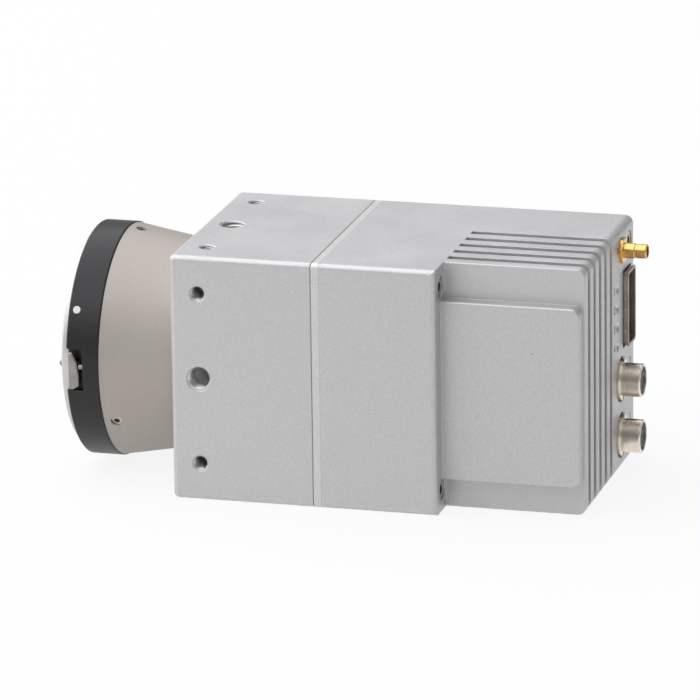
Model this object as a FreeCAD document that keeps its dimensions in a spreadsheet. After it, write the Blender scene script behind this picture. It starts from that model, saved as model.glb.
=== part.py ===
import FreeCAD, Part
import math
import os
import Sketcher

# Machine vision camera, in millimetres. +Z is up, the lens looks along -Y and the side with
# the raised pad faces +X. Inside each body Y is the station: the distance behind the front
# plane of the front housing. Every body is then moved along Y by the same amount, so that
# the origin lies under the middle of the whole camera, on the face it stands on.

# Driving dimensions, in millimetres and degrees
DRIVING = {
    # housing blocks
    "body_width": 66.0,
    "body_height": 66.0,
    "front_length": 38.05,
    "spacer_thickness": 2.3,
    "rear_length": 68.41,
    "edge_radius": 1.4,
    "recess_edge_radius": 0.3,
    "rear_corner_radius": 2.2,
    "seam_chamfer": 0.3,
    "cavity_corner_radius": 3.0,
    # recess, pad and cooling slots of the rear housing
    "finned_length": 37.4,
    "recess_depth": 9.5,
    "pad_height": 3.9,
    "pad_low_margin": 8.42,
    "pad_high_margin": 9.56,
    "pad_rear_margin": 0.6,
    "pad_corner_radius": 2.4,
    "pad_edge_radius": 0.5,
    "slot_width": 2.8,
    "slot_pitch": 6.2,
    "slot_depth": 5.0,
    "slot_count": 5,
    "first_fin": 3.3,
    "cut_overrun": 1.0,
    "near_wall": 3.5,
    "rear_wall": 8.0,
    "side_wall": 8.0,
    # tapped holes of the front housing
    "tapped_station": 7.6,
    "tapped_pitch": 46.0,
    "quarter_inch_diameter": 6.35,
    "quarter_inch_rim": 6.8,
    "quarter_inch_depth": 5.5,
    "side_thread_diameter": 4.0,
    "side_thread_rim": 4.5,
    "side_thread_depth": 7.0,
    # long housing screws
    "screw_inset": 5.7,
    "screw_diameter": 3.0,
    "screw_clearance": 0.2,
    "screw_head_diameter": 5.4,
    "screw_head_height": 3.0,
    "counterbore_diameter": 5.7,
    "counterbore_depth": 3.3,
    "screw_socket": 2.5,
    "screw_socket_depth": 1.5,
    "screw_grip": 10.0,
    # lens adapter
    "flange_distance": 46.5,
    "cone_length": 20.4,
    "cone_rear_radius": 27.3,
    "cone_front_radius": 30.9,
    "cone_pocket_radius": 27.2,
    "cone_pocket_depth": 7.4,
    "cone_throat_radius": 24.2,
    "spigot_radius": 24.0,
    "spigot_length": 5.0,
    "spigot_wall": 1.6,
    "fit_clearance": 0.05,
    "ring_length": 8.9,
    "ring_radius": 31.2,
    "ring_chamfer": 0.35,
    "flange_thickness": 2.0,
    "flange_radius": 28.6,
    "throat_radius": 22.0,
    "bayonet_radius": 24.2,
    "bayonet_lip": 1.4,
    "bayonet_gap_angle": 62.0,
    "bayonet_gap_count": 3,
    "set_screw_inset": 3.2,
    "set_screw_diameter": 3.0,
    "set_screw_sink": 0.3,
    "set_screw_socket": 1.5,
    "set_screw_count": 3,
    "flange_screw_circle": 26.4,
    "flange_screw_diameter": 2.0,
    "flange_screw_head": 3.4,
    "flange_screw_length": 5.5,
    "flange_screw_count": 5,
    "dot_diameter": 2.0,
    "dot_angle": 28.8,
    "dot_inset": 2.2,
    "dot_thickness": 0.6,
    # lens release
    "pin_circle": 26.3,
    "pin_diameter": 2.0,
    "pin_reach": 1.1,
    "pin_clearance": 0.08,
    "lever_thickness": 1.0,
    "lever_face": 30.9,
    "lever_inset": 0.65,
    "lever_top_width": 0.95,
    "lever_bend_width": 2.2,
    "lever_width": 2.65,
    "lever_foot_width": 1.05,
    "lever_rise": 4.2,
    "lever_bend_rise": 1.4,
    "lever_shoulder": 1.7,
    "lever_drop": 5.9,
    "lever_corner": 1.05,
    "lever_bevel": 0.35,
    "tab_half_width": 1.8,
    "tab_inner": 25.15,
    "notch_floor": 28.2,
    "notch_margin": 1.0,
    "release_travel": 1.0,
    "release_play": 0.2,
    "guide_diameter": 1.4,
    "guide_circle": 30.05,
    "guide_rise": 0.3,
    "guide_length": 3.0,
    "spring_wire": 0.3,
    "spring_coil_radius": 1.2,
    "spring_length": 4.4,
    "spring_pitch": 0.9,
    # optics in the front housing
    "glass_seat_radius": 23.0,
    "glass_seat_depth": 8.3,
    "glass_thickness": 1.2,
    "retainer_thickness": 1.5,
    "retainer_width": 2.4,
    "window_radius": 20.0,
    "shelf_station": 12.0,
    "baffle_thickness": 1.2,
    "baffle_window_width": 38.0,
    "baffle_window_height": 27.0,
    # sensor stack
    "board_thickness": 1.6,
    "sensor_depth": 1.7,
    "sensor_width": 38.0,
    "sensor_height": 32.0,
    "sensor_thickness": 2.6,
    "sensor_window_thickness": 0.7,
    "sensor_rim": 3.0,
    "sensor_chip_sink": 0.25,
    "sensor_board_margin": 1.0,
    "standoff_side_inset": 2.5,
    "standoff_end_inset": 4.0,
    "standoff_diameter": 4.2,
    "standoff_thread_depth": 2.5,
    "board_screw_diameter": 2.0,
    "board_screw_head": 3.2,
    "board_screw_head_height": 1.3,
    # processor and rear boards
    "processor_standoff": 6.4,
    "processor_front_gap": 20.0,
    "processor_rear_gap": 2.4,
    "board_margin": 0.5,
    "spacer_radius": 1.7,
    "spacer_end_inset": 5.0,
    "spacer_edge_inset": 2.2,
    "chip_height": 27.0,
    "chip_thickness": 3.0,
    "memory_length": 8.0,
    "memory_height": 12.0,
    "memory_thickness": 1.1,
    "memory_pitch": 14.0,
    "connector_width": 22.0,
    "connector_depth": 5.0,
    "connector_height": 3.2,
    "flex_width": 18.0,
    "flex_thickness": 0.2,
    "io_front_gap": 14.0,
    "io_rear_gap": 0.5,
    "io_top_reach": 1.5,
    # rear face: cage, lamps, circular connectors and coax jack; a share is a share of the
    # body's height, so that the row of openings closes up on a lower body
    "cage_inset": 8.6,
    "cage_width": 8.2,
    "cage_web": 2.2,
    "cage_screw_gap": 0.4,
    "cage_corner_radius": 1.0,
    "cage_wall": 0.4,
    "cage_flare": 0.3,
    "cage_reach": 1.4,
    "cage_length": 48.0,
    "cage_gap": 0.3,
    "cage_plug_depth": 8.0,
    "cage_plug_margin": 1.0,
    "cage_plug_slot_width": 2.4,
    "cage_plug_slot_depth": 4.0,
    "bay_inner_margin": 7.6,
    "bay_outer_margin": 6.4,
    "lamp_inset": 19.3,
    "lamp_middle_share": 0.652,
    "lamp_pitch_share": 0.0794,
    "lamp_hole_diameter": 1.7,
    "lamp_rim": 3.4,
    "lamp_recess": 0.9,
    "lamp_count": 4,
    "light_pipe_clearance": 0.04,
    "lamp_chip_size": 1.6,
    "lamp_chip_height": 0.8,
    "indicator_rear_gap": 3.2,
    "indicator_thickness": 1.2,
    "indicator_side_reach": 3.2,
    "plug_inset": 14.9,
    "upper_plug_share": 0.3758,
    "lower_plug_share": 0.1424,
    "plug_bore_diameter": 12.0,
    "plug_bore_depth": 1.3,
    "plug_rim_chamfer": 0.35,
    "plug_flange_diameter": 11.0,
    "plug_flange_proud": 0.5,
    "plug_notch_width": 2.6,
    "plug_notch_root": 0.1,
    "plug_shell_diameter": 9.0,
    "plug_shell_wall": 0.7,
    "plug_end_chamfer": 0.23,
    "plug_reach": 5.85,
    "plug_rear_reach": 2.4,
    "plug_insert_sink": 0.6,
    "plug_key_width": 1.3,
    "plug_key_start": 0.9,
    "plug_key_length": 3.2,
    "plug_nut_diameter": 11.2,
    "plug_nut_thickness": 1.8,
    "contact_diameter": 0.9,
    "contact_circle": 2.3,
    "contact_depth": 2.0,
    "contact_tail": 1.6,
    "contact_count": 6,
    "coax_inset": 15.1,
    "coax_share": 0.9121,
    "coax_diameter": 4.0,
    "coax_groove_diameter": 3.5,
    "coax_front_diameter": 3.8,
    "coax_bore_diameter": 3.0,
    "coax_shoulder": 3.8,
    "coax_groove_width": 0.7,
    "coax_reach": 7.1,
    "coax_chamfer": 0.3,
    "coax_tail": 2.0,
    "coax_flange_diameter": 6.0,
    "coax_nut_width": 6.2,
    "coax_nut_thickness": 0.95,
    "coax_dielectric_sink": 2.2,
    "coax_pin_diameter": 0.8,
    "coax_pin_sink": 1.4,
}

doc = FreeCAD.newDocument("VisionCamera")
sheet = doc.addObject("Spreadsheet::Sheet", "Sizes")


class Size:
    """A length, angle or count with its value and the sheet formula behind it."""

    def __init__(self, value, text):
        self.value = value
        self.text = text

    def __float__(self):
        return float(self.value)

    def __add__(self, other):
        other = as_size(other)
        return Size(self.value + other.value, "(%s + %s)" % (self.text, other.text))

    def __radd__(self, other):
        return as_size(other) + self

    def __sub__(self, other):
        other = as_size(other)
        return Size(self.value - other.value, "(%s - %s)" % (self.text, other.text))

    def __rsub__(self, other):
        return as_size(other) - self

    def __mul__(self, other):
        other = as_size(other)
        return Size(self.value * other.value, "(%s * %s)" % (self.text, other.text))

    def __rmul__(self, other):
        return as_size(other) * self

    def __truediv__(self, other):
        other = as_size(other)
        return Size(self.value / other.value, "(%s / %s)" % (self.text, other.text))

    def __neg__(self):
        return as_size(0) - self


def as_size(number):
    """Let a plain number stand in a formula."""
    if isinstance(number, Size):
        return number
    return Size(number, repr(number))


class DrivingSizes:
    """The driving dimensions by name, each tied to its cell."""


S = DrivingSizes()
for row, (name, value) in enumerate(DRIVING.items(), start=1):
    sheet.set("A%d" % row, name)
    sheet.set("B%d" % row, str(value))
    sheet.setAlias("B%d" % row, name)
    setattr(S, name, Size(value, "Sizes." + name))
doc.recompute()


def cosine(degrees):
    """Cosine of an angle in degrees, as a formula."""
    degrees = as_size(degrees)
    return Size(math.cos(math.radians(degrees.value)), "cos(%s)" % degrees.text)


def sine(degrees):
    """Sine of an angle in degrees, as a formula."""
    degrees = as_size(degrees)
    return Size(math.sin(math.radians(degrees.value)), "sin(%s)" % degrees.text)


# Derived places: stations along the camera, then places across it
half_width = S.body_width / 2
spacer_front = S.front_length
rear_front = S.front_length + S.spacer_thickness
rear_plane = rear_front + S.rear_length
step = rear_plane - S.finned_length
recess_floor = half_width - S.recess_depth

lens_height = S.body_height / 2
cone_front = -S.cone_length
ring_front = cone_front - S.ring_length
flange_front = ring_front - S.flange_thickness
cone_pocket_floor = cone_front + S.cone_pocket_depth
ring_spigot_end = cone_pocket_floor - S.baffle_thickness
front_reach = -flange_front + S.pin_reach

sensor_plane = flange_front + S.flange_distance
sensor_board_front = sensor_plane + S.sensor_depth
sensor_board_rear = sensor_board_front + S.board_thickness

cavity_half = half_width - S.side_wall
cavity_low = S.side_wall
cavity_high = S.body_height - S.side_wall
cavity_near = recess_floor - S.near_wall
cavity_end = rear_plane - S.rear_wall

screw_side = half_width - S.screw_inset
screw_low = S.screw_inset
screw_span = S.body_height - 2 * S.screw_inset
screw_hole_radius = (S.screw_diameter + S.screw_clearance) / 2
screw_end = S.front_length - S.screw_grip

sensor_board_half_x = cavity_half - S.sensor_board_margin
sensor_board_half_z = lens_height - cavity_low - S.sensor_board_margin
standoff_x = sensor_board_half_x - S.standoff_side_inset
standoff_z = sensor_board_half_z - S.standoff_end_inset

cage_x = S.cage_inset - half_width
plug_x = S.plug_inset - half_width
upper_plug_height = S.body_height * S.upper_plug_share
lower_plug_height = S.body_height * S.lower_plug_share
plug_heights = (("upper", upper_plug_height), ("lower", lower_plug_height))
coax_x = S.coax_inset - half_width
coax_height = S.body_height * S.coax_share
lamp_x = S.lamp_inset - half_width
lamp_pitch = S.body_height * S.lamp_pitch_share
lamp_rise = lamp_pitch * (S.lamp_count - 1)
lamp_low = S.body_height * S.lamp_middle_share - lamp_rise / 2
io_far = cage_x + S.cage_width / 2
io_near = io_far + S.board_thickness
io_front = rear_front + S.io_front_gap
io_rear = cavity_end - S.plug_rear_reach - S.contact_tail - S.io_rear_gap
processor_near = cavity_near - S.processor_standoff
processor_far = processor_near - S.board_thickness
processor_front = rear_front + S.processor_front_gap
processor_rear = cavity_end - S.processor_rear_gap
board_low = cavity_low + S.board_margin
board_high = cavity_high - S.board_margin
board_spacer_front = processor_front + S.spacer_end_inset
board_spacer_span = processor_rear - processor_front - 2 * S.spacer_end_inset
board_spacer_low = board_low + S.spacer_edge_inset
board_spacer_rise = board_high - board_low - 2 * S.spacer_edge_inset
cage_low = upper_plug_height + S.plug_bore_diameter / 2 + S.plug_rim_chamfer + S.cage_web
cage_high = board_high - S.spacer_edge_inset - S.board_screw_head / 2 - S.cage_screw_gap
cage_middle = (cage_low + cage_high) / 2
cage_height = cage_high - cage_low
memory_front = processor_front + S.board_margin
chip_front = memory_front + S.memory_length + S.board_margin
chip_rear = processor_rear - S.board_margin
bay_front = io_front - S.board_margin
bay_low = lower_plug_height - S.plug_nut_diameter / 2 - S.cage_gap
bay_high = coax_height + S.coax_flange_diameter / 2 + S.cage_gap

rear_reach = rear_plane + S.coax_reach
middle = (rear_reach - front_reach) / 2


def new_body(label):
    """Start one piece of the camera; its Y is the station until the placement moves it."""
    body = doc.addObject("PartDesign::Body", label)
    body.Label = label
    body.setExpression("Placement.Base.y", (-middle).text)
    return body


def sketch_on(body, name, role, right=0, up=0, out=0):
    """A sketch on one of the body's own planes, shifted in it and along its normal."""
    sketch = body.newObject("Sketcher::SketchObject", name)
    plane = [item for item in body.Origin.OriginFeatures if item.Role == role][0]
    sketch.AttachmentSupport = [(plane, "")]
    sketch.MapMode = "FlatFace"
    for axis, offset in (("x", right), ("y", up), ("z", out)):
        if isinstance(offset, Size):
            sketch.setExpression("AttachmentOffset.Base." + axis, offset.text)
    return sketch


def across(body, name, station):
    """A sketch square to the lens axis at a station: right is X and up is Z."""
    return sketch_on(body, name, "XZ_Plane", out=-station)


def beside(body, name, x):
    """A sketch seen from the near side: right is the station and up is Z."""
    return sketch_on(body, name, "YZ_Plane", out=x)


def level(body, name, height):
    """A sketch seen from above: right is X and up is the station."""
    return sketch_on(body, name, "XY_Plane", out=height)


def around(body, name, x, height):
    """A sketch through an axis along Y: right is the station and up is the radius."""
    return sketch_on(body, name, "YZ_Plane", up=height, out=x)


def pin(sketch, kind, curve, point, distance):
    """Hold one coordinate of a point at a formula, or on the axis where it is zero."""
    distance = as_size(distance)
    if abs(distance.value) < 1e-9:
        axis = -2 if kind == "DistanceX" else -1
        sketch.addConstraint(Sketcher.Constraint("PointOnObject", curve, point, axis))
        return
    rule = Sketcher.Constraint(kind, -1, 1, curve, point, distance.value)
    index = sketch.addConstraint(rule)
    sketch.setExpression("Constraints[%d]" % index, distance.text)


def outline(sketch, corners):
    """A closed chain of straight lines, with each corner held by formulas."""
    points = [FreeCAD.Vector(float(right), float(up), 0) for right, up in corners]
    lines = []
    for start, end in zip(points, points[1:] + points[:1]):
        lines.append(sketch.addGeometry(Part.LineSegment(start, end), False))
    for line, following in zip(lines, lines[1:] + lines[:1]):
        sketch.addConstraint(Sketcher.Constraint("Coincident", line, 2, following, 1))
    for line, (right, up) in zip(lines, corners):
        pin(sketch, "DistanceX", line, 1, right)
        pin(sketch, "DistanceY", line, 1, up)


def rectangle(sketch, left, right, low, high):
    """A rectangle between four formulas."""
    outline(sketch, [(left, low), (right, low), (right, high), (left, high)])


def circle(sketch, right, up, radius):
    """A circle with its centre and radius held by formulas."""
    centre = FreeCAD.Vector(float(right), float(up), 0)
    shape = Part.Circle(centre, FreeCAD.Vector(0, 0, 1), float(radius))
    curve = sketch.addGeometry(shape, False)
    pin(sketch, "DistanceX", curve, 3, right)
    pin(sketch, "DistanceY", curve, 3, up)
    index = sketch.addConstraint(Sketcher.Constraint("Radius", curve, float(radius)))
    sketch.setExpression("Constraints[%d]" % index, as_size(radius).text)


def hexagon(sketch, right, up, across_flats):
    """A hexagon with corners left and right of its centre, held by formulas."""
    reach = across_flats / 2 / cosine(30)
    corners = []
    for corner in range(6):
        angle = 60 * corner
        corners.append((right + reach * cosine(angle), up + reach * sine(angle)))
    outline(sketch, corners)


def pad(body, name, sketch, length, backwards=False):
    """Add material along the sketch's normal, or against it."""
    feature = body.newObject("PartDesign::Pad", name)
    feature.Profile = sketch
    feature.setExpression("Length", as_size(length).text)
    feature.Reversed = backwards
    body.Tip = feature
    return feature


def pocket(body, name, sketch, depth, backwards=False):
    """Cut against the sketch's normal, or along it."""
    feature = body.newObject("PartDesign::Pocket", name)
    feature.Profile = sketch
    feature.setExpression("Length", as_size(depth).text)
    feature.Reversed = backwards
    body.Tip = feature
    return feature


def turn(body, name, sketch, cut=False, angle=360):
    """Turn a profile about its sketch's own horizontal axis, to add or to cut."""
    kind = "PartDesign::Groove" if cut else "PartDesign::Revolution"
    feature = body.newObject(kind, name)
    feature.Profile = sketch
    feature.ReferenceAxis = (sketch, ["H_Axis"])
    feature.setExpression("Angle", as_size(angle).text)
    body.Tip = feature
    return feature


def repeat_line(body, name, features, sketch, axis, span, count, axis2=None, span2=None):
    """Copies of features along a sketch axis, and along a second one for a grid of two rows."""
    pattern = body.newObject("PartDesign::LinearPattern", name)
    pattern.Originals = features
    pattern.Direction = (sketch, [axis])
    pattern.setExpression("Length", as_size(span).text)
    pattern.setExpression("Occurrences", as_size(count).text)
    if axis2:
        pattern.Direction2 = (sketch, [axis2])
        pattern.setExpression("Length2", as_size(span2).text)
        pattern.Occurrences2 = 2
    body.Tip = pattern
    return pattern


def repeat_round(body, name, features, sketch, count):
    """Copies of features spread evenly about a sketch's horizontal axis."""
    pattern = body.newObject("PartDesign::PolarPattern", name)
    pattern.Originals = features
    pattern.Axis = (sketch, ["H_Axis"])
    pattern.Angle = 360
    pattern.setExpression("Occurrences", as_size(count).text)
    body.Tip = pattern
    return pattern


def same(value, size):
    """True where a coordinate of the built shape equals a formula's value."""
    return abs(value - float(size)) < 1e-4


def runs_along(edge, axis):
    """True for a straight edge along one of the axes."""
    box = edge.BoundBox
    lengths = {"X": box.XLength, "Y": box.YLength, "Z": box.ZLength}
    others = [length for key, length in lengths.items() if key != axis]
    return lengths[axis] > 1e-6 and max(others) < 1e-4


def edge_names(feature, test):
    """The names of a feature's edges that pass a test."""
    doc.recompute()
    edges = feature.Shape.Edges
    return ["Edge%d" % number for number, edge in enumerate(edges, start=1) if test(edge)]


def fillet(body, name, base, radius, test):
    """Round the edges of the body so far that pass a test."""
    feature = body.newObject("PartDesign::Fillet", name)
    feature.Base = (base, edge_names(base, test))
    feature.setExpression("Radius", as_size(radius).text)
    body.Tip = feature
    return feature


def chamfer(body, name, base, size, test):
    """Bevel the edges of the body so far that pass a test."""
    feature = body.newObject("PartDesign::Chamfer", name)
    feature.Base = (base, edge_names(base, test))
    feature.setExpression("Size", as_size(size).text)
    body.Tip = feature
    return feature


def tapped_holes(body, name, sketch, diameter, rim, depth, inwards):
    """Threaded holes with a countersunk rim, one for each circle of a sketch."""
    doc.recompute()
    hole = body.newObject("PartDesign::Hole", name)
    hole.Profile = sketch
    hole.DepthType = "Dimension"
    hole.setExpression("Diameter", diameter.text)
    hole.setExpression("Depth", depth.text)
    hole.DrillPoint = "Angled"
    hole.HoleCutType = "Countersink"
    hole.HoleCutCustomValues = True
    hole.setExpression("HoleCutDiameter", rim.text)
    hole.HoleCutCountersinkAngle = 90
    hole.Reversed = not inwards
    body.Tip = hole
    return hole


# Housing


def block_with_round_edges(body, front, length, front_edges):
    """A square block whose long edges, and if asked its front edges, are rounded."""
    frame = across(body, "block_outline", front)
    rectangle(frame, -half_width, half_width, 0, S.body_height)
    block = pad(body, "block", frame, length, backwards=True)

    def outer_edge(edge):
        if runs_along(edge, "Y"):
            return True
        return front_edges and same(edge.CenterOfMass.y, front)

    return fillet(body, "block_edges", block, S.edge_radius, outer_edge)


def make_front_housing():
    """Square block with a stepped bore for the optics and a cavity for the sensor."""
    body = new_body("front_housing")
    block_with_round_edges(body, as_size(0), S.front_length, front_edges=True)

    bore = around(body, "bore_profile", as_size(0), lens_height)
    thread_radius = S.spigot_radius + S.fit_clearance
    retainer_front = S.glass_seat_depth - S.glass_thickness - S.retainer_thickness
    outline(bore, [
        (0, 0),
        (S.shelf_station, 0),
        (S.shelf_station, S.window_radius),
        (S.glass_seat_depth, S.window_radius),
        (S.glass_seat_depth, S.glass_seat_radius),
        (retainer_front, S.glass_seat_radius),
        (retainer_front, thread_radius),
        (0, thread_radius),
    ])
    turn(body, "bore", bore, cut=True)

    window = across(body, "cavity_outline", S.front_length)
    rectangle(window, -cavity_half, cavity_half, cavity_low, cavity_high)
    cavity_depth = S.front_length - S.shelf_station
    cavity = pocket(body, "cavity", window, cavity_depth, backwards=True)

    def cavity_corner(edge):
        return runs_along(edge, "Y") and same(abs(edge.CenterOfMass.x), cavity_half)

    fillet(body, "cavity_corners", cavity, S.cavity_corner_radius, cavity_corner)

    corner = across(body, "screw_thread", S.front_length)
    circle(corner, -screw_side, screw_low, screw_hole_radius)
    thread = pocket(body, "screw_threads", corner, S.screw_grip + S.screw_clearance, backwards=True)
    repeat_line(body, "screw_thread_grid", [thread], corner, "V_Axis", screw_span, 2,
                "H_Axis", 2 * screw_side)

    low_hole = lens_height - S.tapped_pitch / 2
    high_hole = lens_height + S.tapped_pitch / 2
    for side, x in (("near", half_width), ("far", -half_width)):
        middle_hole = beside(body, side + "_middle_hole", x)
        circle(middle_hole, S.tapped_station, lens_height, S.quarter_inch_diameter / 2)
        tapped_holes(body, side + "_quarter_inch", middle_hole, S.quarter_inch_diameter,
                     S.quarter_inch_rim, S.quarter_inch_depth, side == "near")
        outer_holes = beside(body, side + "_outer_holes", x)
        circle(outer_holes, S.tapped_station, low_hole, S.side_thread_diameter / 2)
        circle(outer_holes, S.tapped_station, high_hole, S.side_thread_diameter / 2)
        tapped_holes(body, side + "_four_mm", outer_holes, S.side_thread_diameter,
                     S.side_thread_rim, S.side_thread_depth, side == "near")
    for side, height in (("top", S.body_height), ("bottom", as_size(0))):
        middle_hole = level(body, side + "_middle_hole", height)
        circle(middle_hole, 0, S.tapped_station, S.quarter_inch_diameter / 2)
        tapped_holes(body, side + "_quarter_inch", middle_hole, S.quarter_inch_diameter,
                     S.quarter_inch_rim, S.quarter_inch_depth, side == "top")
        outer_holes = level(body, side + "_outer_holes", height)
        circle(outer_holes, -S.tapped_pitch / 2, S.tapped_station, S.side_thread_diameter / 2)
        circle(outer_holes, S.tapped_pitch / 2, S.tapped_station, S.side_thread_diameter / 2)
        tapped_holes(body, side + "_four_mm", outer_holes, S.side_thread_diameter,
                     S.side_thread_rim, S.side_thread_depth, side == "top")
    return body


def make_spacer_plate():
    """Thin plate between the two housings, flush with them."""
    body = new_body("spacer_plate")
    block = block_with_round_edges(body, spacer_front, S.spacer_thickness, front_edges=False)

    def front_rim(edge):
        return same(edge.CenterOfMass.y, spacer_front)

    chamfer(body, "seam", block, S.seam_chamfer, front_rim)
    window = across(body, "window_outline", spacer_front)
    rectangle(window, -cavity_half, cavity_half, cavity_low, cavity_high)
    opening = pocket(body, "window", window, S.spacer_thickness)

    def window_corner(edge):
        return runs_along(edge, "Y") and same(abs(edge.CenterOfMass.x), cavity_half)

    fillet(body, "window_corners", opening, S.cavity_corner_radius, window_corner)
    corner = across(body, "screw_hole", spacer_front)
    circle(corner, -screw_side, screw_low, screw_hole_radius)
    hole = pocket(body, "screw_holes", corner, S.spacer_thickness)
    repeat_line(body, "screw_hole_grid", [hole], corner, "V_Axis", screw_span, 2,
                "H_Axis", 2 * screw_side)
    return body


def cut_cooling_slots(body):
    """Five slots that run over the top, down the rear face and along the bottom."""
    over = S.slot_depth
    span = S.slot_pitch * (S.slot_count - 1)
    farthest_slot = recess_floor - S.first_fin - span
    loop = beside(body, "slot_loop", farthest_slot)
    slot_end = rear_plane - S.slot_depth
    outline(loop, [
        (step, S.body_height + over),
        (step, S.body_height - S.slot_depth),
        (slot_end, S.body_height - S.slot_depth),
        (slot_end, S.slot_depth),
        (step, S.slot_depth),
        (step, -over),
        (rear_plane + over, -over),
        (rear_plane + over, S.body_height + over),
    ])
    slot = pocket(body, "slot", loop, S.slot_width)
    repeat_line(body, "slots", [slot], loop, "N_Axis", span, S.slot_count)


def make_rear_housing():
    """Finned block: recessed near side with a raised pad, slots, cavity and rear openings."""
    body = new_body("rear_housing")
    frame = across(body, "block_outline", rear_front)
    rectangle(frame, -half_width, half_width, 0, S.body_height)
    pad(body, "block", frame, S.rear_length, backwards=True)
    side = beside(body, "recess_outline", half_width)
    rectangle(side, step, rear_plane, 0, S.body_height)
    recess = pocket(body, "recess", side, S.recess_depth)

    def rear_corner(edge):
        return runs_along(edge, "X") and same(edge.CenterOfMass.y, rear_plane)

    rear_round = fillet(body, "rear_corners", recess, S.rear_corner_radius, rear_corner)

    def outer_edge(edge):
        middle_point = edge.CenterOfMass
        at_top = same(middle_point.z, S.body_height) or same(middle_point.z, 0)
        if not same(abs(middle_point.x), half_width) or same(middle_point.y, rear_front):
            return False
        return runs_along(edge, "Z") or (runs_along(edge, "Y") and at_top)

    def recess_rim(edge):
        middle_point = edge.CenterOfMass
        on_floor = same(edge.BoundBox.XMin, recess_floor) and same(edge.BoundBox.XMax, recess_floor)
        return on_floor and not same(middle_point.y, step)

    rounded = fillet(body, "outer_edges", rear_round, S.edge_radius, outer_edge)
    fillet(body, "recess_edges", rounded, S.recess_edge_radius, recess_rim)
    pad_root = S.recess_edge_radius
    face = beside(body, "pad_outline", recess_floor - pad_root)
    pad_rear = rear_plane - S.pad_rear_margin
    pad_high = S.body_height - S.pad_high_margin
    rectangle(face, step, pad_rear, S.pad_low_margin, pad_high)
    raised = pad(body, "raised_pad", face, S.pad_height + pad_root)

    def pad_corner(edge):
        return runs_along(edge, "X") and same(edge.CenterOfMass.y, pad_rear)

    corners = fillet(body, "pad_corners", raised, S.pad_corner_radius, pad_corner)
    pad_face = recess_floor + S.pad_height

    def pad_rim(edge):
        middle_point = edge.CenterOfMass
        on_face = same(edge.BoundBox.XMin, pad_face) and same(edge.BoundBox.XMax, pad_face)
        return on_face and not same(middle_point.y, step)

    fillet(body, "pad_edges", corners, S.pad_edge_radius, pad_rim)
    cut_cooling_slots(body)

    inside = across(body, "cavity_outline", rear_front)
    rectangle(inside, -cavity_half, cavity_near, cavity_low, cavity_high)
    pocket(body, "cavity", inside, cavity_end - rear_front)
    front_zone = across(body, "front_zone_outline", rear_front)
    rectangle(front_zone, -cavity_half, cavity_half, cavity_low, cavity_high)
    zone_depth = step - rear_front - S.counterbore_depth - S.side_wall
    pocket(body, "front_zone", front_zone, zone_depth)

    bay = across(body, "connector_bay_outline", cavity_end)
    rectangle(bay, plug_x - S.bay_outer_margin, plug_x + S.bay_inner_margin, bay_low, bay_high)
    pocket(body, "connector_bay", bay, cavity_end - bay_front, backwards=True)
    tunnel = across(body, "cage_tunnel_outline", rear_plane)
    reach_x = S.cage_width / 2 + S.cage_flare + S.cage_gap
    reach_z = cage_height / 2 + S.cage_flare + S.cage_gap
    rectangle(tunnel, cage_x - reach_x, cage_x + reach_x,
              cage_middle - reach_z, cage_middle + reach_z)
    tunnel_depth = S.cage_length - S.cage_reach + S.cage_gap
    pocket(body, "cage_tunnel", tunnel, tunnel_depth, backwards=True)

    for row, x, mouth in (("near", screw_side, step), ("far", -screw_side, rear_plane)):
        seat = across(body, row + "_counterbore", mouth)
        circle(seat, x, screw_low, S.counterbore_diameter / 2)
        bore = pocket(body, row + "_counterbores", seat, S.counterbore_depth, backwards=True)
        repeat_line(body, row + "_counterbore_row", [bore], seat, "V_Axis", screw_span, 2)
        shank = across(body, row + "_screw_hole", mouth)
        circle(shank, x, screw_low, screw_hole_radius)
        through = pocket(body, row + "_screw_holes", shank, mouth - rear_front, backwards=True)
        repeat_line(body, row + "_screw_hole_row", [through], shank, "V_Axis", screw_span, 2)

    lamp = around(body, "lamp_hole_profile", lamp_x, lamp_low)
    hole_radius = S.lamp_hole_diameter / 2
    rim_radius = S.lamp_rim / 2
    outline(lamp, [
        (cavity_end - S.cut_overrun, 0),
        (cavity_end - S.cut_overrun, hole_radius),
        (rear_plane - (rim_radius - hole_radius), hole_radius),
        (rear_plane, rim_radius),
        (rear_plane, 0),
    ])
    lamp_hole = turn(body, "lamp_hole", lamp, cut=True)
    rise = across(body, "lamp_row_direction", rear_plane)
    circle(rise, lamp_x, lamp_low, hole_radius)
    repeat_line(body, "lamp_holes", [lamp_hole], rise, "V_Axis", lamp_rise, S.lamp_count)

    for place, height in plug_heights:
        mouth = around(body, place + "_plug_profile", plug_x, height)
        bore_radius = S.plug_bore_diameter / 2
        through_radius = S.plug_shell_diameter / 2 + S.fit_clearance
        outline(mouth, [
            (cavity_end - S.cut_overrun, 0),
            (cavity_end - S.cut_overrun, through_radius),
            (rear_plane - S.plug_bore_depth, through_radius),
            (rear_plane - S.plug_bore_depth, bore_radius),
            (rear_plane - S.plug_rim_chamfer, bore_radius),
            (rear_plane, bore_radius + S.plug_rim_chamfer),
            (rear_plane, 0),
        ])
        turn(body, place + "_plug_hole", mouth, cut=True)

    jack = across(body, "coax_hole_outline", rear_plane)
    circle(jack, coax_x, coax_height, S.coax_diameter / 2 + S.fit_clearance)
    pocket(body, "coax_hole", jack, S.rear_wall + S.cut_overrun, backwards=True)
    return body


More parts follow.
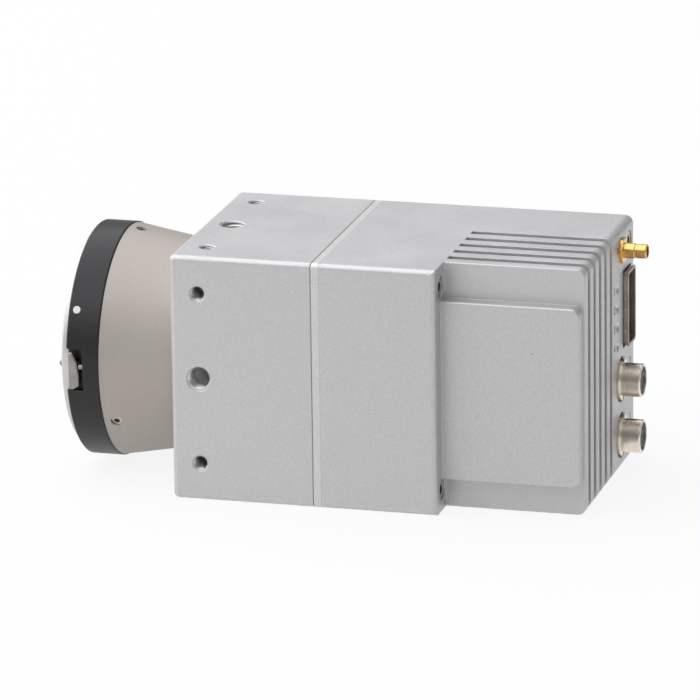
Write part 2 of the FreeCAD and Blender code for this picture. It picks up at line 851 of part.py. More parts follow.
def make_housing_screws(label, x, head_top):
    """Two long socket screws that pull the rear housing on to the front one."""
    body = new_body(label)
    head_base = head_top - S.screw_head_height
    shaft = around(body, "screw_profile", x, screw_low)
    outline(shaft, [
        (screw_end, 0),
        (screw_end, S.screw_diameter / 2),
        (head_base, S.screw_diameter / 2),
        (head_base, S.screw_head_diameter / 2),
        (head_top, S.screw_head_diameter / 2),
        (head_top, 0),
    ])
    screw = turn(body, "screw", shaft)
    socket = across(body, "socket_outline", head_top)
    hexagon(socket, x, screw_low, S.screw_socket)
    hollow = pocket(body, "socket", socket, S.screw_socket_depth, backwards=True)
    repeat_line(body, "pair", [screw, hollow], socket, "V_Axis", screw_span, 2)
    return body


# Lens adapter


def radial_place(radius, angle):
    """X and Z of a point round the lens axis; the angle rises from the near side."""
    return radius * cosine(angle), lens_height + radius * sine(angle)


def make_lens_adapter_cone():
    """Flared tube screwed into the front housing, with three radial set screws."""
    body = new_body("lens_adapter_cone")
    wall = around(body, "wall_profile", as_size(0), lens_height)
    outline(wall, [
        (0, S.cone_rear_radius),
        (cone_front, S.cone_front_radius),
        (cone_front, S.cone_pocket_radius),
        (cone_pocket_floor, S.cone_pocket_radius),
        (cone_pocket_floor, S.cone_throat_radius),
        (S.spigot_length, S.spigot_radius - S.spigot_wall),
        (S.spigot_length, S.spigot_radius),
        (0, S.spigot_radius),
    ])
    turn(body, "wall", wall)
    hole = level(body, "set_screw_hole", lens_height + S.cone_front_radius)
    circle(hole, 0, cone_front + S.set_screw_inset, S.set_screw_diameter / 2 + S.fit_clearance)
    depth = S.cone_front_radius - S.cone_throat_radius - S.fit_clearance
    cut = pocket(body, "set_screw_cut", hole, depth)
    repeat_round(body, "set_screw_cuts", [cut], wall, S.set_screw_count)
    return body


def make_cone_set_screws():
    """Three headless screws that hold the mount ring in the cone."""
    body = new_body("cone_set_screws")
    axis = around(body, "lens_axis", as_size(0), lens_height)
    station = cone_front + S.set_screw_inset
    slope = (S.cone_front_radius - S.cone_rear_radius) / S.cone_length
    top = S.cone_front_radius - slope * S.set_screw_inset - S.set_screw_sink
    outline(axis, [
        (station - S.set_screw_socket / 2, top),
        (station, top),
        (station, top + S.set_screw_sink),
    ])
    disc = level(body, "screw_outline", lens_height + S.cone_pocket_radius)
    circle(disc, 0, station, S.set_screw_diameter / 2)
    screw = pad(body, "screw", disc, top - S.cone_pocket_radius)
    socket = level(body, "socket_outline", lens_height + top)
    hexagon(socket, as_size(0), station, S.set_screw_socket)
    hollow = pocket(body, "socket", socket, S.screw_socket_depth)
    repeat_round(body, "all_screws", [screw, hollow], axis, S.set_screw_count)
    return body


def make_mount_ring():
    """Black ring with a spigot in the cone, a notch for the lever and bores for the release."""
    body = new_body("mount_ring")
    wall = around(body, "wall_profile", as_size(0), lens_height)
    outline(wall, [
        (cone_front, S.ring_radius - S.ring_chamfer),
        (cone_front - S.ring_chamfer, S.ring_radius),
        (ring_front + S.ring_chamfer, S.ring_radius),
        (ring_front, S.ring_radius - S.ring_chamfer),
        (ring_front, S.bayonet_radius),
        (ring_spigot_end, S.bayonet_radius),
        (ring_spigot_end, S.cone_pocket_radius - S.fit_clearance),
        (cone_front, S.cone_pocket_radius - S.fit_clearance),
    ])
    turn(body, "wall", wall)

    notch = beside(body, "notch_outline", S.ring_radius + S.cut_overrun)
    lever_room = S.lever_inset + S.lever_width + S.release_travel + S.release_play
    rectangle(notch, ring_front, ring_front + lever_room,
              lens_height - S.lever_drop - S.release_play,
              lens_height + S.lever_rise + S.notch_margin)
    notch_depth = S.ring_radius + S.cut_overrun - S.notch_floor
    pocket(body, "notch", notch, notch_depth)

    slot = beside(body, "tab_slot_outline", S.notch_floor)
    tab_room = S.lever_inset + S.lever_thickness + S.release_travel + S.release_play
    slot_half = S.tab_half_width + S.release_play
    rectangle(slot, ring_front, ring_front + tab_room,
              lens_height - slot_half, lens_height + slot_half)
    pocket(body, "tab_slot", slot, S.notch_floor - S.tab_inner + S.release_play)

    bore = across(body, "pin_bore_outline", ring_front)
    circle(bore, S.pin_circle, lens_height, S.spring_coil_radius + S.spring_wire)
    tab_rear = S.lever_inset + S.lever_thickness
    pocket(body, "spring_bore", bore, tab_rear + S.spring_length)

    guide = across(body, "guide_bore_outline", ring_front)
    circle(guide, S.guide_circle, lens_height + S.guide_rise,
           S.guide_diameter / 2 + S.pin_clearance)
    pocket(body, "guide_bore", guide, lever_room + S.guide_length)

    screw_hole = across(body, "flange_screw_hole", ring_front)
    circle(screw_hole, -S.flange_screw_circle, lens_height,
           S.flange_screw_diameter / 2 + S.fit_clearance)
    hole = pocket(body, "flange_screw_cut", screw_hole, S.flange_screw_length)
    repeat_round(body, "flange_screw_cuts", [hole], wall, S.flange_screw_count)

    dot = dot_sketch(body, S.ring_radius + S.dot_thickness, S.fit_clearance)
    pocket(body, "dot_hole", dot, 2 * S.dot_thickness)
    return body


def dot_sketch(body, radius, clearance):
    """The index dot's circle on a plane square to its own radius."""
    sketch = body.newObject("Sketcher::SketchObject", "dot_outline")
    plane = [item for item in body.Origin.OriginFeatures if item.Role == "YZ_Plane"][0]
    sketch.AttachmentSupport = [(plane, "")]
    sketch.MapMode = "FlatFace"
    along_axis = FreeCAD.Vector(1, 0, 0)
    turned = FreeCAD.Rotation(along_axis, -float(S.dot_angle))
    sketch.AttachmentOffset = FreeCAD.Placement(FreeCAD.Vector(0, 0, 0), turned)
    x, z = radial_place(radius, S.dot_angle)
    sketch.setExpression("AttachmentOffset.Base.y", z.text)
    sketch.setExpression("AttachmentOffset.Base.z", x.text)
    sketch.setExpression("AttachmentOffset.Rotation.Angle", (-S.dot_angle).text)
    circle(sketch, ring_front + S.dot_inset, 0, S.dot_diameter / 2 + clearance)
    return sketch


def make_index_dot():
    """White dot that shows how the lens goes on."""
    body = new_body("index_dot")
    dot = dot_sketch(body, S.ring_radius, 0)
    pad(body, "dot", dot, S.dot_thickness, backwards=True)
    return body


def make_bayonet_flange():
    """Polished plate with three inward lips that hold a lens's claws."""
    body = new_body("bayonet_flange")
    plate = around(body, "plate_profile", as_size(0), lens_height)
    outline(plate, [
        (ring_front, S.bayonet_radius),
        (flange_front + S.bayonet_lip, S.bayonet_radius),
        (flange_front + S.bayonet_lip, S.throat_radius),
        (flange_front, S.throat_radius),
        (flange_front, S.flange_radius - S.ring_chamfer),
        (flange_front + S.ring_chamfer, S.flange_radius),
        (ring_front, S.flange_radius),
    ])
    turn(body, "plate", plate)
    gap = around(body, "gap_profile", as_size(0), lens_height)
    rectangle(gap, flange_front, flange_front + S.bayonet_lip,
              S.throat_radius - S.cut_overrun, S.bayonet_radius)
    entry = turn(body, "gap", gap, cut=True, angle=S.bayonet_gap_angle)
    repeat_round(body, "gaps", [entry], plate, S.bayonet_gap_count)

    head = around(body, "screw_profile", -S.flange_screw_circle, lens_height)
    shank_radius = S.flange_screw_diameter / 2 + S.fit_clearance
    head_radius = S.flange_screw_head / 2
    outline(head, [
        (flange_front, 0),
        (flange_front, head_radius),
        (flange_front + head_radius - shank_radius, shank_radius),
        (ring_front, shank_radius),
        (ring_front, 0),
    ])
    screw_hole = turn(body, "screw_hole", head, cut=True)
    repeat_round(body, "screw_holes", [screw_hole], plate, S.flange_screw_count)
    pin_hole = across(body, "pin_hole_outline", flange_front)
    circle(pin_hole, S.pin_circle, lens_height, S.pin_diameter / 2 + S.pin_clearance)
    pocket(body, "pin_hole", pin_hole, S.flange_thickness)
    return body


def make_flange_screws():
    """Five countersunk screws through the bayonet flange into the ring."""
    body = new_body("flange_screws")
    shaft = around(body, "screw_profile", -S.flange_screw_circle, lens_height)
    axis = around(body, "lens_axis", as_size(0), lens_height)
    radius = S.flange_screw_diameter / 2
    head_radius = S.flange_screw_head / 2 - S.fit_clearance
    outline(axis, [
        (flange_front, S.flange_screw_circle),
        (ring_front, S.flange_screw_circle),
        (ring_front, S.flange_screw_circle + radius),
    ])
    outline(shaft, [
        (flange_front, 0),
        (flange_front, head_radius),
        (flange_front + head_radius - radius, radius),
        (ring_front + S.flange_screw_length - S.fit_clearance, radius),
        (ring_front + S.flange_screw_length - S.fit_clearance, 0),
    ])
    screw = turn(body, "screw", shaft)
    repeat_round(body, "all_screws", [screw], axis, S.flange_screw_count)
    return body


def make_light_baffle():
    """Black plate with a rectangular window, clamped between cone and ring."""
    body = new_body("light_baffle")
    disc = across(body, "disc_outline", cone_pocket_floor)
    circle(disc, 0, lens_height, S.cone_pocket_radius - S.fit_clearance)
    half_x = S.baffle_window_width / 2
    half_z = S.baffle_window_height / 2
    rectangle(disc, -half_x, half_x, lens_height - half_z, lens_height + half_z)
    pad(body, "disc", disc, S.baffle_thickness)
    return body


# Lens release: these pieces slide together along the lens axis

lever_front = ring_front + S.lever_inset
lever_back = S.lever_face - S.lever_thickness


def make_release_lever():
    """Folded sheet lever: a bevelled finger plate and a tab that reaches in to the pin."""
    body = new_body("release_lever")
    plate = beside(body, "plate_outline", lever_back)
    lever_rear = lever_front + S.lever_width
    lever_foot = lens_height - S.lever_drop
    outline(plate, [
        (lever_front, lever_foot),
        (lever_front + S.lever_foot_width, lever_foot),
        (lever_rear, lever_foot + S.lever_corner),
        (lever_rear, lens_height - S.lever_shoulder),
        (lever_front + S.lever_bend_width, lens_height + S.lever_bend_rise),
        (lever_front + S.lever_top_width, lens_height + S.lever_rise),
        (lever_front, lens_height + S.lever_rise),
    ])
    finger_plate = pad(body, "plate", plate, S.lever_thickness)

    def outer_rim(edge):
        box = edge.BoundBox
        on_face = same(box.XMin, S.lever_face) and same(box.XMax, S.lever_face)
        return on_face and not same(box.YMax, lever_front)

    chamfer(body, "plate_bevel", finger_plate, S.lever_bevel, outer_rim)
    tab = across(body, "tab_outline", lever_front)
    rectangle(tab, S.tab_inner, lever_back,
              lens_height - S.tab_half_width, lens_height + S.tab_half_width)
    pad(body, "tab", tab, S.lever_thickness, backwards=True)
    eye = across(body, "eye_outline", lever_front)
    circle(eye, S.pin_circle, lens_height, S.pin_diameter / 2)
    pocket(body, "eye", eye, S.lever_thickness)
    return body


def make_lock_pin():
    """Pin with a rounded tip that drops into a lens's lock slot."""
    body = new_body("lock_pin")
    profile = around(body, "pin_profile", S.pin_circle, lens_height)
    tip = flange_front - S.pin_reach
    radius = S.pin_diameter / 2
    tail_radius = S.spring_coil_radius - S.spring_wire / 2 - S.pin_clearance
    tail_end = lever_front + S.lever_thickness + S.spring_length / 2
    outline(profile, [
        (tip, 0),
        (tip, radius / 2),
        (tip + radius / 2, radius),
        (lever_front + S.lever_thickness, radius),
        (lever_front + S.lever_thickness, tail_radius),
        (tail_end, tail_radius),
        (tail_end, 0),
    ])
    turn(body, "pin", profile)
    return body


def make_lever_guide_pin():
    """Short post on the finger plate's edge that slides in the ring and keeps it square."""
    body = new_body("lever_guide_pin")
    disc = across(body, "post_outline", lever_front + S.lever_width)
    circle(disc, S.guide_circle, lens_height + S.guide_rise, S.guide_diameter / 2)
    pad(body, "post", disc, S.guide_length, backwards=True)
    return body


def make_release_spring():
    """Coil spring behind the lever's tab, round the tail of the lock pin."""
    body = new_body("release_spring")
    start = lever_front + S.lever_thickness
    wire = around(body, "wire_outline", S.pin_circle, lens_height)
    circle(wire, start + S.spring_wire / 2, S.spring_coil_radius, S.spring_wire / 2)
    coil = body.newObject("PartDesign::AdditiveHelix", "coil")
    coil.Profile = wire
    coil.ReferenceAxis = (wire, ["H_Axis"])
    coil.Mode = "pitch-height-angle"
    coil.setExpression("Pitch", S.spring_pitch.text)
    coil.setExpression("Height", (S.spring_length - S.spring_wire).text)
    body.Tip = coil
    return body


# Optics and sensor


def make_cover_glass():
    """Filter glass on its shelf in the front housing."""
    body = new_body("cover_glass")
    disc = across(body, "disc_outline", S.glass_seat_depth)
    circle(disc, 0, lens_height, S.glass_seat_radius - S.fit_clearance)
    pad(body, "disc", disc, S.glass_thickness)
    return body


def make_glass_retainer():
    """Ring that clamps the cover glass."""
    body = new_body("glass_retainer")
    ring = across(body, "ring_outline", S.glass_seat_depth - S.glass_thickness)
    circle(ring, 0, lens_height, S.glass_seat_radius - S.fit_clearance)
    circle(ring, 0, lens_height, S.glass_seat_radius - S.retainer_width)
    pad(body, "ring", ring, S.retainer_thickness)
    return body


def make_image_sensor():
    """Ceramic package with a stepped well for the chip and its window."""
    body = new_body("image_sensor")
    half_x = S.sensor_width / 2
    half_z = S.sensor_height / 2
    block = across(body, "package_outline", sensor_board_front)
    rectangle(block, -half_x, half_x, lens_height - half_z, lens_height + half_z)
    pad(body, "package", block, S.sensor_thickness)
    front = sensor_board_front - S.sensor_thickness
    seat = across(body, "window_seat_outline", front)
    rim = S.sensor_rim / 2
    rectangle(seat, rim - half_x, half_x - rim,
              lens_height - half_z + rim, lens_height + half_z - rim)
    pocket(body, "window_seat", seat, S.sensor_window_thickness)
    well = across(body, "chip_well_outline", front)
    rim = S.sensor_rim
    rectangle(well, rim - half_x, half_x - rim,
              lens_height - half_z + rim, lens_height + half_z - rim)
    pocket(body, "chip_well", well, sensor_plane - front + S.sensor_chip_sink)
    return body


def make_sensor_window():
    """Glass lid in the sensor package."""
    body = new_body("sensor_window")
    front = sensor_board_front - S.sensor_thickness
    inset = S.sensor_rim / 2 + S.fit_clearance
    half_x = S.sensor_width / 2 - inset
    half_z = S.sensor_height / 2 - inset
    lid = across(body, "lid_outline", front)
    rectangle(lid, -half_x, half_x, lens_height - half_z, lens_height + half_z)
    pad(body, "lid", lid, S.sensor_window_thickness, backwards=True)
    return body


def sensor_screw_place(body, name, station, radius):
    """A circle at the far lower corner of the sensor board's screw pattern."""
    sketch = across(body, name, station)
    circle(sketch, -standoff_x, lens_height - standoff_z, radius)
    return sketch


def sensor_screw_grid(body, features, sketch):
    """The four corners of the sensor board's screw pattern."""
    repeat_line(body, "four", features, sketch, "V_Axis", 2 * standoff_z, 2,
                "H_Axis", 2 * standoff_x)


def make_sensor_board():
    """Board behind the sensor, with four screw holes."""
    body = new_body("sensor_board")
    plate = across(body, "plate_outline", sensor_board_front)
    rectangle(plate, -sensor_board_half_x, sensor_board_half_x,
              lens_height - sensor_board_half_z, lens_height + sensor_board_half_z)
    pad(body, "plate", plate, S.board_thickness, backwards=True)
    hole = sensor_screw_place(body, "screw_hole", sensor_board_front,
                              S.board_screw_diameter / 2 + S.fit_clearance)
    cut = pocket(body, "screw_cut", hole, S.board_thickness)
    sensor_screw_grid(body, [cut], hole)
    return body


def make_sensor_standoffs():
    """Four tapped posts between the front housing's shelf and the sensor board."""
    body = new_body("sensor_standoffs")
    disc = sensor_screw_place(body, "post_outline", S.shelf_station, S.standoff_diameter / 2)
    post = pad(body, "post", disc, sensor_board_front - S.shelf_station, backwards=True)
    hole = sensor_screw_place(body, "thread_outline", sensor_board_front,
                              S.board_screw_diameter / 2 + S.fit_clearance)
    cut = pocket(body, "thread", hole, S.standoff_thread_depth, backwards=True)
    sensor_screw_grid(body, [post, cut], disc)
    return body


def make_sensor_board_screws():
    """Four screws that hold the sensor board on its posts."""
    body = new_body("sensor_board_screws")
    disc = sensor_screw_place(body, "head_outline", sensor_board_rear, S.board_screw_head / 2)
    head = pad(body, "head", disc, S.board_screw_head_height, backwards=True)
    shank = sensor_screw_place(body, "shank_outline", sensor_board_rear,
                               S.board_screw_diameter / 2)
    shaft = pad(body, "shank", shank, S.board_thickness + S.board_screw_diameter)
    sensor_screw_grid(body, [head, shaft], disc)
    return body


# Boards in the rear housing

flex_x = processor_far - S.board_margin - S.flex_thickness


def make_sensor_connector():
    """Flex socket on the rear of the sensor board."""
    body = new_body("sensor_connector")
    half = S.connector_width / 2
    block = across(body, "block_outline", sensor_board_rear)
    rectangle(block, flex_x - S.connector_depth / 2, flex_x + S.connector_depth / 2,
              lens_height - half, lens_height + half)
    pad(body, "block", block, S.connector_height, backwards=True)
    return body


def make_processor_connector():
    """Flex socket on the processor board's front edge."""
    body = new_body("processor_connector")
    half = S.connector_width / 2
    block = beside(body, "block_outline", processor_far)
    rectangle(block, processor_front, processor_front + S.connector_depth,
              lens_height - half, lens_height + half)
    pad(body, "block", block, S.connector_height, backwards=True)
    return body


def make_sensor_flex_cable():
    """Flat cable from the sensor board to the processor board."""
    body = new_body("sensor_flex_cable")
    half = S.flex_width / 2
    strip = beside(body, "strip_outline", flex_x)
    rectangle(strip, sensor_board_rear + S.connector_height, processor_front,
              lens_height - half, lens_height + half)
    pad(body, "strip", strip, S.flex_thickness)
    return body


def board_posts(body, name, near, length, radius):
    """One round post of the rear boards' pattern, from a plane towards the far side."""
    disc = beside(body, name + "_outline", near)
    circle(disc, board_spacer_front, board_spacer_low, radius)
    return disc, pad(body, name, disc, length, backwards=True)


def board_post_grid(body, features, sketch):
    """The four corners of the rear boards' pattern."""
    repeat_line(body, "four", features, sketch, "H_Axis", board_spacer_span, 2,
                "V_Axis", board_spacer_rise)


def board_screw_holes(body, near, depth):
    """Four screw holes through a rear board, from its near face."""
    hole = beside(body, "screw_hole", near)
    circle(hole, board_spacer_front, board_spacer_low,
           S.board_screw_diameter / 2 + S.fit_clearance)
    cut = pocket(body, "screw_cut", hole, depth)
    board_post_grid(body, [cut], hole)


def make_processor_board():
    """Board along the near wall."""
    body = new_body("processor_board")
    plate = beside(body, "plate_outline", processor_near)
    rectangle(plate, processor_front, processor_rear, board_low, board_high)
    pad(body, "plate", plate, S.board_thickness, backwards=True)
    board_screw_holes(body, processor_near, S.board_thickness)
    return body


def make_processor_chips():
    """Main processor and two memory chips on the board's near face."""
    body = new_body("processor_chips")
    half = S.chip_height / 2
    main = beside(body, "main_chip_outline", processor_near)
    rectangle(main, chip_front, chip_rear, lens_height - half, lens_height + half)
    pad(body, "main_chip", main, S.chip_thickness)
    memory = beside(body, "memory_outline", processor_near)
    low = lens_height - S.memory_pitch / 2 - S.memory_height / 2
    rectangle(memory, memory_front, memory_front + S.memory_length, low, low + S.memory_height)
    block = pad(body, "memory", memory, S.memory_thickness)
    repeat_line(body, "memories", [block], memory, "V_Axis", S.memory_pitch, 2)
    return body


def make_thermal_pad():
    """Soft pad that carries the processor's heat to the near wall."""
    body = new_body("thermal_pad")
    half = S.chip_height / 2
    face = processor_near + S.chip_thickness
    block = beside(body, "pad_outline", face)
    rectangle(block, chip_front, chip_rear, lens_height - half, lens_height + half)
    pad(body, "soft_pad", block, cavity_near - face)
    return body


def make_processor_standoffs():
    """Four short posts between the near wall and the processor board."""
    body = new_body("processor_standoffs")
    disc, post = board_posts(body, "post", cavity_near, S.processor_standoff, S.spacer_radius)
    board_post_grid(body, [post], disc)
    return body


def make_board_spacers():
    """Four long posts between the two rear boards."""
    body = new_body("board_spacers")
    disc, post = board_posts(body, "post", processor_far, processor_far - io_near,
                             S.spacer_radius)
    board_post_grid(body, [post], disc)
    return body


def make_board_screws():
    """Four screws through the output board into the long posts' ends."""
    body = new_body("board_screws")
    disc, head = board_posts(body, "head", io_far, S.board_screw_head_height,
                             S.board_screw_head / 2)
    shank = beside(body, "shank_outline", io_far)
    circle(shank, board_spacer_front, board_spacer_low, S.board_screw_diameter / 2)
    shaft = pad(body, "shank", shank, S.board_thickness)
    board_post_grid(body, [head, shaft], disc)
    return body


def make_io_board():
    """Output board that carries the cage, the coax contact and the lamp board."""
    body = new_body("io_board")
    plate = beside(body, "plate_outline", io_near)
    rectangle(plate, io_front, io_rear, board_low, coax_height + S.io_top_reach)
    pad(body, "plate", plate, S.board_thickness, backwards=True)
    board_screw_holes(body, io_near, S.board_thickness)
    return body


def make_indicator_board():
    """Small board square to the output board, behind the four lamps."""
    body = new_body("indicator_board")
    rear = cavity_end - S.indicator_rear_gap
    plate = across(body, "plate_outline", rear)
    rectangle(plate, io_near, lamp_x + S.indicator_side_reach,
              lamp_low - lamp_pitch / 2, lamp_low + lamp_rise + lamp_pitch / 2)
    pad(body, "plate", plate, S.indicator_thickness)
    return body


def make_status_leds():
    """Four lamp chips on the indicator board."""
    body = new_body("status_leds")
    rear = cavity_end - S.indicator_rear_gap
    half = S.lamp_chip_size / 2
    chip = across(body, "chip_outline", rear)
    rectangle(chip, lamp_x - half, lamp_x + half, lamp_low - half, lamp_low + half)
    block = pad(body, "chip", chip, S.lamp_chip_height, backwards=True)
    repeat_line(body, "row", [block], chip, "V_Axis", lamp_rise, S.lamp_count)
    return body


def make_led_light_pipes():
    """Four clear rods that carry the lamps' light to the rear face."""
    body = new_body("led_light_pipes")
    start = cavity_end - S.indicator_rear_gap + S.lamp_chip_height
    disc = across(body, "rod_outline", start)
    circle(disc, lamp_x, lamp_low, S.lamp_hole_diameter / 2 - S.light_pipe_clearance)
    rod = pad(body, "rod", disc, rear_plane - S.lamp_recess - start, backwards=True)
    repeat_line(body, "row", [rod], disc, "V_Axis", lamp_rise, S.lamp_count)
    return body


# Rear face


def make_fibre_cage():
    """Thin sheet metal tube for a fibre module, with a flared lip at its mouth."""
    body = new_body("fibre_cage")
    mouth = rear_plane + S.cage_reach
    half_x = S.cage_width / 2
    low = cage_low
    high = cage_high
    flare = S.cage_flare
    wall = S.cage_wall

    def corner_at(reach):
        """A test for the long edges at this distance to the side of the cage's middle."""
        def at_corner(edge):
            return runs_along(edge, "Y") and same(abs(edge.CenterOfMass.x - float(cage_x)), reach)
        return at_corner

    tube = across(body, "tube_outline", mouth)
    rectangle(tube, cage_x - half_x, cage_x + half_x, low, high)
    sleeve = pad(body, "tube", tube, S.cage_length)
    fillet(body, "tube_corners", sleeve, S.cage_corner_radius, corner_at(half_x))
    lip = across(body, "lip_outline", mouth)
    rectangle(lip, cage_x - half_x - flare, cage_x + half_x + flare, low - flare, high + flare)
    rim = pad(body, "lip", lip, wall)
    fillet(body, "lip_corners", rim, S.cage_corner_radius + flare, corner_at(half_x + flare))
    hollow = across(body, "hollow_outline", mouth)
    rectangle(hollow, cage_x - half_x + wall, cage_x + half_x - wall, low + wall, high - wall)
    inside = pocket(body, "hollow", hollow, S.cage_length - wall, backwards=True)
    fillet(body, "hollow_corners", inside, S.cage_corner_radius - wall, corner_at(half_x - wall))
    return body


def make_cage_connector():
    """Edge connector at the inner end of the cage."""
    body = new_body("cage_connector")
    back = rear_plane + S.cage_reach - S.cage_length + S.cage_wall
    half_x = S.cage_width / 2 - S.cage_wall
    half_z = cage_height / 2 - S.cage_wall - S.cage_plug_margin
    block = across(body, "block_outline", back)
    rectangle(block, cage_x - half_x, cage_x + half_x, cage_middle - half_z, cage_middle + half_z)
    pad(body, "block", block, S.cage_plug_depth, backwards=True)
    mouth = across(body, "mouth_outline", back + S.cage_plug_depth)
    slot_half_x = S.cage_plug_slot_width / 2
    slot_half_z = half_z - S.cage_plug_margin
    rectangle(mouth, cage_x - slot_half_x, cage_x + slot_half_x,
              cage_middle - slot_half_z, cage_middle + slot_half_z)
    pocket(body, "mouth", mouth, S.cage_plug_slot_depth, backwards=True)
    return body


def make_connector_shell(label, height):
    """Shell of a circular connector: flange, barrel with a key slot and threaded tail."""
    body = new_body(label)
    seat = rear_plane - S.plug_bore_depth
    tail = cavity_end - S.plug_rear_reach
    outer = S.plug_shell_diameter / 2
    inner = outer - S.plug_shell_wall
    end = rear_plane + S.plug_reach
    edge = S.plug_end_chamfer
    profile = around(body, "shell_profile", plug_x, height)
    outline(profile, [
        (tail, inner),
        (tail, outer),
        (seat, outer),
        (seat, S.plug_flange_diameter / 2),
        (rear_plane + S.plug_flange_proud, S.plug_flange_diameter / 2),
        (rear_plane + S.plug_flange_proud, outer),
        (end - edge, outer),
        (end, outer - edge),
        (end, inner),
    ])
    turn(body, "shell", profile)
    key = level(body, "key_outline", height + outer)
    half = S.plug_key_width / 2
    start = rear_plane + S.plug_key_start
    rectangle(key, plug_x - half, plug_x + half, start, start + S.plug_key_length)
    pocket(body, "key_slot", key, 2 * S.plug_shell_wall)
    notch = across(body, "notch_outline", rear_plane + S.plug_flange_proud)
    half = S.plug_notch_width / 2
    root = outer + S.plug_notch_root
    tip = S.plug_flange_diameter / 2 + S.cut_overrun
    for side in (-1, 1):
        edges = sorted((height + root * side, height + tip * side), key=float)
        rectangle(notch, plug_x - half, plug_x + half, *edges)
    pocket(body, "notches", notch, S.plug_bore_depth + S.plug_flange_proud, backwards=True)
    return body


def make_connector_inserts():
    """Moulded inserts of both circular connectors, with a ring of contact holes."""
    body = new_body("connector_inserts")
    tail = cavity_end - S.plug_rear_reach
    end = rear_plane + S.plug_reach - S.plug_insert_sink
    radius = S.plug_shell_diameter / 2 - S.plug_shell_wall - S.fit_clearance
    for place, height in plug_heights:
        rod = around(body, place + "_profile", plug_x, height)
        outline(rod, [(tail, 0), (tail, radius), (end, radius), (end, 0)])
        turn(body, place + "_insert", rod)
        centre = across(body, place + "_centre_outline", end)
        circle(centre, plug_x, height, S.contact_diameter / 2)
        pocket(body, place + "_centre_hole", centre, S.contact_depth, backwards=True)
        hole = across(body, place + "_hole_outline", end)
        circle(hole, plug_x + S.contact_circle, height, S.contact_diameter / 2)
        cut = pocket(body, place + "_hole", hole, S.contact_depth, backwards=True)
        repeat_round(body, place + "_holes", [cut], rod, S.contact_count)
    return body


def make_connector_contacts():
    """Solder tails behind both inserts."""
    body = new_body("connector_contacts")
    tail = cavity_end - S.plug_rear_reach
    for place, height in plug_heights:
        axis = around(body, place + "_axis", plug_x, height)
        outline(axis, [(tail, 0), (tail, S.contact_circle), (cavity_end, 0)])
        end = across(body, place + "_tail_outline", tail)
        circle(end, plug_x + S.contact_circle, height, S.contact_diameter / 2)
        rod = pad(body, place + "_tail", end, S.contact_tail)
        repeat_round(body, place + "_tails", [rod], axis, S.contact_count)
    return body


def make_connector_nuts():
    """Nuts inside the rear wall that hold the circular connectors."""
    body = new_body("connector_nuts")
    ring = across(body, "nut_outline", cavity_end)
    circle(ring, plug_x, lower_plug_height, S.plug_nut_diameter / 2)
    circle(ring, plug_x, lower_plug_height, S.plug_shell_diameter / 2 + S.fit_clearance)
    nut = pad(body, "nut", ring, S.plug_nut_thickness)
    repeat_line(body, "pair", [nut], ring, "V_Axis", upper_plug_height - lower_plug_height, 2)
    return body


def make_coax_jack():
    """Gold coax barrel with a groove, a flange inside the wall and a bore."""
    body = new_body("coax_jack")
    outer = S.coax_diameter / 2
    bore = S.coax_bore_diameter / 2
    shoulder = rear_plane + S.coax_shoulder
    groove_end = shoulder + S.coax_groove_width
    end = rear_plane + S.coax_reach
    front = S.coax_front_diameter / 2
    profile = around(body, "barrel_profile", coax_x, coax_height)
    outline(profile, [
        (cavity_end - S.coax_tail, bore),
        (cavity_end - S.coax_tail, S.coax_flange_diameter / 2),
        (cavity_end, S.coax_flange_diameter / 2),
        (cavity_end, outer),
        (shoulder, outer),
        (shoulder, S.coax_groove_diameter / 2),
        (groove_end, S.coax_groove_diameter / 2),
        (groove_end, front),
        (end - S.coax_chamfer, front),
        (end, front - S.coax_chamfer / 2),
        (end, bore),
    ])
    turn(body, "barrel", profile)
    return body


def make_coax_nut():
    """Hexagon nut on the coax barrel, against the rear face."""
    body = new_body("coax_nut")
    face = across(body, "nut_outline", rear_plane)
    hexagon(face, coax_x, coax_height, S.coax_nut_width)
    circle(face, coax_x, coax_height, S.coax_diameter / 2 + S.fit_clearance)
    pad(body, "nut", face, S.coax_nut_thickness, backwards=True)
    return body


def make_coax_dielectric():
    """White insulator in the coax barrel."""
    body = new_body("coax_dielectric")
    start = cavity_end - S.coax_tail
    end = rear_plane + S.coax_reach - S.coax_dielectric_sink
    ring = across(body, "ring_outline", start)
    circle(ring, coax_x, coax_height, S.coax_bore_diameter / 2 - S.light_pipe_clearance)
    circle(ring, coax_x, coax_height, S.coax_pin_diameter / 2 + S.light_pipe_clearance)
    pad(body, "ring", ring, end - start, backwards=True)
    return body


def make_coax_centre_pin():
    """Centre contact, from the output board's edge to the mouth of the jack."""
    body = new_body("coax_centre_pin")
    start = io_rear - S.coax_tail
    end = rear_plane + S.coax_reach - S.coax_pin_sink
    disc = across(body, "pin_outline", start)
    circle(disc, coax_x, coax_height, S.coax_pin_diameter / 2)
    pad(body, "pin", disc, end - start, backwards=True)
    return body


